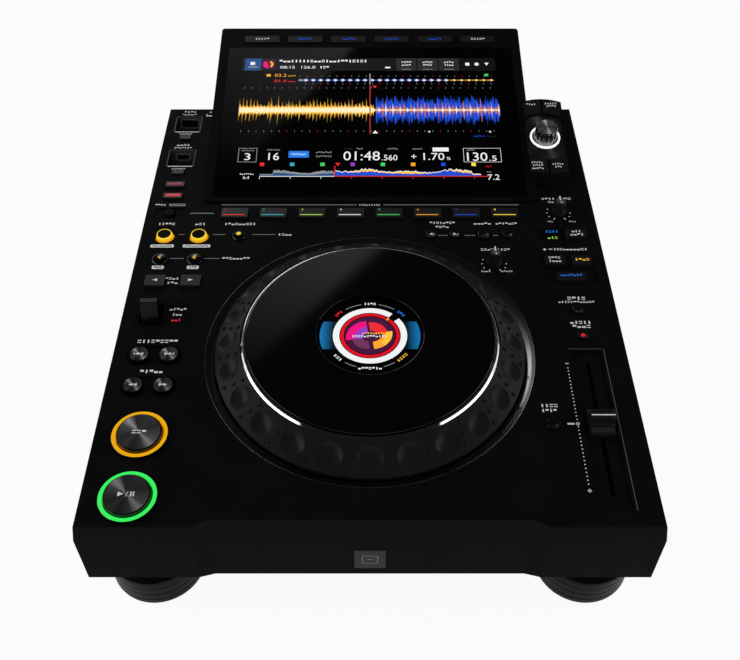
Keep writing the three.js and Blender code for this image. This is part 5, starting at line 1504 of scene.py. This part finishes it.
def main_wave():
    pick = random.Random(11)
    count = round((WAVE_RIGHT - WAVE_LEFT) / WAVE_STEP)
    xs = [WAVE_LEFT + WAVE_STEP * i for i in range(count + 1)]
    left = [x for x in xs if x <= WAVE_CHANGE]
    right = [x for x in xs if x >= WAVE_CHANGE]
    fade = [min(1, max(0.25, (WAVE_CHANGE - x) / 3)) for x in left]
    for side, shares, waves in ((left, fade, PLAYED_WAVES), (right, [1] * len(right), COMING_WAVES)):
        for layer, (color, least, reach, shift, beat, decay, low, high, chance) in enumerate(waves):
            heights = []
            for x, share in zip(side, shares):
                phase = (x + shift - WAVE_LEFT) % beat / beat
                spike = pick.uniform(low, high) if pick.random() < chance else low
                heights.append(share * (least + reach * math.exp(-decay * phase) * spike))
            band(color, side, [WAVE_ROW - height for height in heights],
                 [WAVE_ROW + height for height in heights], layer)


OVERVIEW_LEFT = -83.5
OVERVIEW_RIGHT = 84
OVERVIEW_BASE = 25.0
OVERVIEW_PLAYED = -27
OVERVIEW_STEPS = 190
OVERVIEW_SIGNS = 8
# Layers of the overview: colour, least and most share of its level, and layer
PLAYED_LEVELS = (("grey", 1.0, 1.0, 0), ("navy", 0.35, 0.6, 1))
COMING_LEVELS = (("amber", 1.0, 1.0, 0), ("blue", 0.4, 1.0, 1))


def overview():
    pick = random.Random(29)
    length, floor = OVERVIEW_RIGHT - OVERVIEW_LEFT, OVERVIEW_BASE
    xs = [OVERVIEW_LEFT + length * i / OVERVIEW_STEPS for i in range(OVERVIEW_STEPS + 1)]
    level = []
    for x in xs:
        share = (x - OVERVIEW_LEFT) / length
        swell = 4.6 + 1.9 * math.sin(share * 9.5) * math.sin(share * 23)
        quiet = 0.35 if share < 0.06 or share > 0.96 else 1
        level.append(max(1.2, swell * pick.uniform(0.75, 1.1)) * quiet)
    played = [i for i, x in enumerate(xs) if x <= OVERVIEW_PLAYED]
    ahead = [i for i, x in enumerate(xs) if x >= OVERVIEW_PLAYED]
    for chosen, levels in ((played, PLAYED_LEVELS), (ahead, COMING_LEVELS)):
        for color, least, most, layer in levels:
            shares = [least + (most - least) * (0.5 + 0.5 * math.sin(i / 9) * math.sin(i / 31))
                      for i in chosen]
            band(color, [xs[i] for i in chosen], [floor] * len(chosen),
                 [floor + level[i] * share for i, share in zip(chosen, shares)], layer)
    tops = [floor + level[i] for i in ahead]
    screen("white").ribbon([xs[i] for i in ahead], [top - 0.2 for top in tops], [top + 0.5 for top in tops],
                           SCREEN_LOW, SCREEN_HIGH)
    row = floor - 0.6
    bar("white", (OVERVIEW_LEFT + OVERVIEW_PLAYED) / 2, row, OVERVIEW_PLAYED - OVERVIEW_LEFT, 0.6)
    bar("red", (OVERVIEW_RIGHT + OVERVIEW_PLAYED) / 2 + 3, row, OVERVIEW_RIGHT - OVERVIEW_PLAYED + 6, 0.6)
    bar("red", OVERVIEW_PLAYED + 0.2, floor + 5, 0.7, 10, 3)
    for i in range(OVERVIEW_SIGNS):
        bar("white" if i < 3 else "red", OVERVIEW_LEFT + 23.2 * i, floor - 2.2, 0.4, 2.0)


HEADER_ROW = 145.2
HEADER_BOXES = (29.8, 47.3, 64.8)


def header():
    bar("dim", -1.0, HEADER_ROW, 208, 14.6)
    bar("navy", -96.0, HEADER_ROW, 13.2, 13.8, 1)
    bar("white", -96.4, 146.4, 3.8, 3.4, 2)
    bar("grey", -96.0, 142.2, 8.0, 1.2, 2)
    bar("plum", -83.2, 145.4, 10.4, 10.6, 1)
    screen("magenta").arc(0.3, 4.4, 180, 330, SCREEN_LOW, SCREEN_HIGH, 20, -83.4, HEADER_ROW)
    screen("orange").arc(2.2, 4.2, 20, 150, SCREEN_LOW, SCREEN_HIGH, 20, -83.4, 145.4)
    word("white", -38.5, 149.2, 72, 2.9, 91)
    number("08:15", -67.6, 142.0, 3.0, 12)
    number("126.0", -50.6, 142.0, 3.0, 11.5)
    word("white", -37.4, 142.0, 7.5, 2.6, 92)
    shape("white", round_rectangle(14.5, 141.6, 4.4, 1.7, 0.8))
    for i, x in enumerate(HEADER_BOXES):
        bar("slate", x, HEADER_ROW, 16.4, 14.6, 1)
        word("white", x, 147.9, 8.0, 1.8, 93 + i, SCREEN_LOW + INK / 2)
        word("white", x, 144.6, 7.4, 1.8, 97 + i, SCREEN_LOW + INK / 2)
        bar("grey", x, 139.6, 8.0, 0.5, 2)
    shape("white", round_rectangle(80.0, 145.6, 3.4, 3.4, 0.8))
    screen("white").arc(0.7, 1.8, 0, 359.9, SCREEN_LOW, SCREEN_HIGH, 20, 87.6, 145.6)
    shape("white", [(94.0, 147.2), (95.8, 144.0), (97.6, 147.2)])


TICK_PITCH = 6.0
PHASE_ROW = 127.0
PHASE_COUNT = 26
PHASE_PLAYED = 20
# Rows of ticks: row, first tick and number of ticks
TICK_ROWS = ((131.6, -57, 27), (123.0, -52, 26), (118.2, -101, 34), (70.8, -101, 34))


def phase_rows():
    bar("orange", -82.6, 132.6, 3.4, 2.8)
    number("03.2", -72.8, 132.6, 3.4, 9.5, "orange")
    word("orange", -63.6, 132.0, 6.0, 1.4, 101)
    number("01.4", -72.8, 126.2, 3.2, 9.5, "red")
    word("red", -63.6, 125.6, 6.0, 1.4, 102)
    bar("green", 94.8, 133.0, 3.2, 2.6)
    bar("grey", -56.2, PHASE_ROW, 3.6, 2.2)
    for i in range(PHASE_COUNT):
        x = -52.4 + TICK_PITCH * i
        if i < PHASE_PLAYED:
            arrow("blue", x - 1.5, PHASE_ROW, -3.0, 4.0, SCREEN_LOW + INK / 3)
            arrow("white" if i < 16 else "cream", x + 1.2, PHASE_ROW, 2.6, 3.0)
            arrow("white", x - 0.9, PHASE_ROW, -1.4, 1.4)
        else:
            bar("bronze", x, PHASE_ROW, TICK_PITCH * 0.9, 1.2)
            arrow("cream", x + 1.2, PHASE_ROW, 1.8, 2.6)
    for u, start, count in TICK_ROWS:
        for i in range(count):
            bar("crimson" if i % 4 == 2 else "grey", start + TICK_PITCH * i, u, 0.32, 1.5)
    shape("red", [(3.9, 117.8), (5.6, 120.6), (2.2, 120.6)])
    shape("white", [(2.0, 68.4), (6.2, 68.4), (4.1, 71.6)])
    for x in (46, 93.5):
        arrow("white", x, 70.2, -1.8, 2.2)
    bar("grey", 0, 128.5, 1.0, 12, 3)
    bar("maroon", 0, 95, 0.8, 54, 3)
    word("blue", 85.0, 65.4, 9.0, 1.4, 103)
    word("slate", 94.6, 65.4, 7.0, 1.4, 104)


def outline_box(color, x, u, width, height, line=0.45):
    for side in (-1, 1):
        bar(color, x, u + side * height / 2, width + line, line)
        bar(color, x + side * width / 2, u, line, height)


CUE_MARKS = ((-82.3, "red"), (-59.3, "cyan"), (-36.2, "green"), (-13.2, "purple"), (9.8, "green"),
             (32.9, "orange"), (55.9, "blue"), (79, "yellow"))


def readouts():
    outline_box("grey", -94.0, 45.8, 14.0, 14.0)
    word("grey", -94.0, 50.6, 9.6, 1.3, 111)
    number("3", -94.0, 44.2, 7.0, 4.6)
    word("grey", -74.4, 51.2, 10.0, 1.3, 112)
    number("16", -73.8, 44.4, 7.4, 8.2)
    bar("sky", -54.7, 46.6, 15.6, 6.6)
    word("white", -54.7, 46.6, 11.0, 1.5, 113, SCREEN_LOW + INK / 2, SCREEN_HIGH + INK / 3)
    word("grey", -35.5, 48.7, 12.0, 1.5, 114)
    word("grey", -35.5, 44.6, 12.0, 1.5, 115)
    word("slate", -16.6, 52.4, 6.0, 1.4, 116)
    word("grey", -8.0, 52.4, 5.0, 1.4, 121)
    word("grey", 17.4, 52.4, 8.0, 1.4, 122)
    number("01:48", -6.4, 45.0, 9.2, 28.0)
    number(".560", 15.0, 43.2, 5.6, 12.0)
    word("grey", 36.6, 52.4, 7.6, 1.4, 117)
    number("+", 33.6, 44.4, 4.0, 4.0)
    number("1.70", 49.0, 44.4, 7.2, 16.0)
    number("%", 60.2, 42.4, 3.0, 3.0)
    bar("white", 54.4, 51.6, 12.4, 4.0)
    outline_box("white", 86.2, 45.8, 28.6, 14.0, 0.3)
    word("grey", 77.4, 51.0, 6.0, 1.3, 118)
    number("130", 82.2, 44.2, 8.6, 15.6)
    number(".5", 94.2, 42.6, 5.4, 5.6)
    for x, color in CUE_MARKS:
        bar(color, x, 36.4, 3.3, 3.4)
    shape("red", [(-24.5, 34.6), (-22.6, 37.8), (-26.4, 37.8)])
    word("white", -93.4, 26.6, 10.4, 1.3, 119)
    number("6.4", -93.6, 23.2, 2.8, 4.6)
    word("crimson", 90.4, 34.6, 4.2, 1.6, 120)
    word("grey", 90.4, 28.6, 3.6, 1.0, 123)
    number("7.2", 93.4, 23.6, 5.4, 9.0)


def menu_signs():
    for i in range(MENU_KEYS):
        x = MENU_PITCH * (i - (MENU_KEYS - 1) / 2)
        outer = i in (0, MENU_KEYS - 1)
        form = marks("print" if outer else "legend", "white" if outer else "blue", "menu_keys", slope)
        strip(form, x, MENU_ROW, 11.5, 2.2, MENU_RISE, 130 + i)


# Selector tower

PLATE_RADIUS = 22.8
PLATE_TOP = -2.0
PLATE_BOTTOM = -4.2
PLATE_HALF = 14.2
PLATE_STEPS = 24
GLOW_RADIUS = 11.6
GLOW_WIDTH = 1.5
GLOW_GAP = 0.3
KNOB_RADIUS = 8.3
KNOB_FOOT = -2.6
KNOB_TOP = 9.2
KNOB_FLUTES = 12
# Share of the knob's radius, height and depth of the flutes
KNOB_LEVELS = (
    (1.0, KNOB_FOOT, 0), (1.09, KNOB_FOOT + 0.5, 0), (1.08, KNOB_FOOT + 2.2, 0.35),
    (1.05, KNOB_FOOT + 5.5, 1), (1.03, KNOB_TOP - 2.2, 1), (1.01, KNOB_TOP - 0.9, 0.6),
    (0.97, KNOB_TOP - 0.2, 0.1), (0.93, KNOB_TOP, 0),
)
# Words beside the keys: place across and along, and width
SELECTOR_STRIPS = (
    (-8.2, 33.3, 7.2), (7.2, 34.1, 9.6), (7.6, 31.4, 7.4), (-9.0, -27.6, 8.6), (-8.6, -30.4, 8.0),
    (-8.8, -33.2, 8.6), (6.6, -28.9, 8.2), (6.8, -31.9, 5.4),
)


def make_selector():
    plate = Form(selector)
    span = math.asin(PLATE_HALF / PLATE_RADIUS)
    angles = [start + span * (2 * i / PLATE_STEPS - 1) for start in (math.pi / 2, 3 * math.pi / 2)
              for i in range(PLATE_STEPS + 1)]
    outline, hole = ([(radius * math.cos(angle), radius * math.sin(angle)) for angle in angles]
                     for radius in (PLATE_RADIUS, GLOW_RADIUS + GLOW_GAP))
    plate.frame(outline, hole, PLATE_BOTTOM, PLATE_TOP)
    piece("selector_dish", plate, "spun_plate", "player", ("selector_plate",))
    inner, outer, low, high = GLOW_RADIUS - GLOW_WIDTH, GLOW_RADIUS, PLATE_BOTTOM, PLATE_TOP + 1
    ring = rounded([(inner, low), (outer, low), (outer, high), (inner, high)], 0.4, closed=True)
    turned("selector_glow", selector, ring, 96, "white_light", "player",
           ("selector_light_ring",), closed=True)
    make_selector_knob()
    for seed, (x, u, width) in enumerate(SELECTOR_STRIPS, 141):
        strip(marks("print", "white", "selector_keys", selector), x, u, width, 1.7, 0, seed)


def make_selector_knob():
    knob = Form(selector)
    fluted(knob, [(KNOB_RADIUS * share, z, depth) for share, z, depth in KNOB_LEVELS], 16 * KNOB_FLUTES,
           lambda angle: (0.5 - 0.5 * math.cos(KNOB_FLUTES * angle)) ** 2)
    node = "selector_knob"
    piece("selector_knob_body", knob, "dark_chrome", node, (node,))
    low, high = KNOB_TOP - 0.1, KNOB_TOP + 0.08
    face = [(0, low), (KNOB_RADIUS * 0.89, low), (KNOB_RADIUS * 0.88, high), (0, KNOB_TOP + 0.12)]
    turned("selector_knob_face", selector, face, 96, "spun_knob", node)


# Studio, in metres

CAMERA_PLACE = (0, -0.51095, 0.5546)
CAMERA_DOWN = 47.59
CAMERA_LENS = 47.40
FLOOR_SIZE = 6.0
FLOOR_GLOW = 0.94
SKY_LEVEL = 0.42
CEILING_LEVEL = 0.008
CEILING_START = 0.02
CEILING_END = 0.24


def make_camera():
    data = bpy.data.cameras.new("camera")
    data.lens = CAMERA_LENS
    data.sensor_width = 36
    data.clip_start, data.clip_end = 0.01, 50
    made = bpy.data.objects.new("camera", data)
    made.location = CAMERA_PLACE
    made.rotation_euler = (math.radians(90 - CAMERA_DOWN), 0, 0)
    bpy.context.scene.collection.objects.link(made)
    bpy.context.scene.camera = made


def make_floor():
    """A pale floor that shows nearly white to the camera and in reflections."""
    mesh = bpy.data.meshes.new("floor")
    corners = [(x, y, 0) for x, y in rectangle(0, 0, FLOOR_SIZE, FLOOR_SIZE)]
    mesh.from_pydata(corners, [], [(0, 1, 2, 3)])
    floor = bpy.data.objects.new("floor", mesh)
    bpy.context.scene.collection.objects.link(floor)
    finish = Finish("pale_floor", shade(0.82), 0.8, specular=0.0)
    glow, mix = finish.node("ShaderNodeEmission"), finish.node("ShaderNodeMixShader")
    share = finish.fed("ShaderNodeMath", finish.direct_rays(), 0, operation="MULTIPLY")
    share.inputs[1].default_value = FLOOR_GLOW
    finish.link(share.outputs["Value"], mix.inputs["Fac"])
    finish.link(finish.surface.outputs["BSDF"], mix.inputs[1])
    finish.link(glow.outputs["Emission"], mix.inputs[2])
    finish.link(mix.outputs["Shader"], finish.tree.nodes["Material Output"].inputs["Surface"])
    mesh.materials.append(finish.done())


def make_world():
    """White for the camera, pale at the horizon and dim overhead in reflections, even for the rest."""
    world = bpy.data.worlds.new("studio")
    bpy.context.scene.world = world
    world.use_nodes = True
    made = Nodes(world.node_tree)
    upward = made.axis(made.places("Generated"), "Z")
    level = made.ranged(upward, 1.0, CEILING_LEVEL, CEILING_START, CEILING_END)
    seen = made.combined("MAXIMUM", level, made.node("ShaderNodeLightPath").outputs["Is Camera Ray"])
    mix = made.fed("ShaderNodeMix", made.direct_rays(), "Factor", in_A=SKY_LEVEL)
    made.link(seen, mix.inputs["B"])
    background = made.tree.nodes["Background"]
    made.link(mix.outputs["Result"], background.inputs["Strength"])
    background.inputs["Color"].default_value = (1, 1, 1, 1)


# Softbox overhead at the rear left: its straight edge shows as a slanting reflection in disc and screen
SOFTBOX_EDGE = ((-0.27, 0.686), (0.01, 1.05))
SOFTBOX_HEIGHT = 1.1
SOFTBOX_LENGTH = 1.3
SOFTBOX_WIDTH = 0.8
SOFTBOX_RADIANCE = 0.45
SOFTBOX_FADE = 0.3
# Side lamps: name, place, aim, width, height, radiance and roll in degrees
LAMPS = (
    ("left_strip", (-0.75, -0.2, 0.3), (0, -0.1, 0.09), 0.85, 0.3, 2.2, 0),
    ("right_strip", (0.75, -0.2, 0.3), (0, -0.1, 0.09), 0.85, 0.3, 1.8, 0),
    ("rear_strip", (-0.36, 1.0, 0.7), (0.12, -0.14, 0.08), 0.7, 0.28, 2.6, 55),
)


def add_lamp(name, width, height, radiance):
    data = bpy.data.lights.new(name, "AREA")
    data.shape = "RECTANGLE"
    data.size, data.size_y = width, height
    data.energy = radiance * width * height * math.pi
    lamp = bpy.data.objects.new(name, data)
    lamp.visible_camera = False
    bpy.context.scene.collection.objects.link(lamp)
    return lamp


def make_lamps():
    for name, place, aim, width, height, radiance, roll in LAMPS:
        lamp = add_lamp(name, width, height, radiance)
        lamp.location = place
        facing = (Vector(aim) - Vector(place)).to_track_quat("-Z", "Y").to_matrix()
        lamp.rotation_euler = (facing @ Matrix.Rotation(math.radians(roll), 3, "Z")).to_euler()
    start, end = (Vector(point) for point in SOFTBOX_EDGE)
    along = (end - start).normalized()
    across = Vector((-along.y, along.x))
    lamp = add_lamp("softbox", SOFTBOX_LENGTH, SOFTBOX_WIDTH, SOFTBOX_RADIANCE)
    centre = start + along * SOFTBOX_LENGTH / 2 + across * SOFTBOX_WIDTH / 2
    lamp.location = (*centre, SOFTBOX_HEIGHT)
    lamp.rotation_euler = (0, 0, math.atan2(along.y, along.x))
    lamp.data.use_nodes = True
    made = Nodes(lamp.data.node_tree)
    share = made.axis(made.node("ShaderNodeNewGeometry").outputs["Parametric"], "X")
    fade = made.ranged(share, 0.0, 1.0, 0.0, SOFTBOX_FADE)
    made.link(fade, made.tree.nodes["Emission"].inputs["Strength"])


make_camera()
make_lamps()
make_world()
make_floor()
dress_nodes()
make_feet()
make_jog_wheel()
make_jog_top()
make_jog_base()
make_jog_display()
make_transport()
make_search()
make_loops()
make_beat_loops()
make_small_caps()
make_dials()
make_fader()
make_lever()
make_ports()
make_rear()
make_pads()
make_key_signs()
print_deck()
front_sign()
main_wave()
overview()
header()
phase_rows()
readouts()
menu_signs()
make_selector()
print_pieces()
bpy.context.scene.view_settings.view_transform = "Standard"
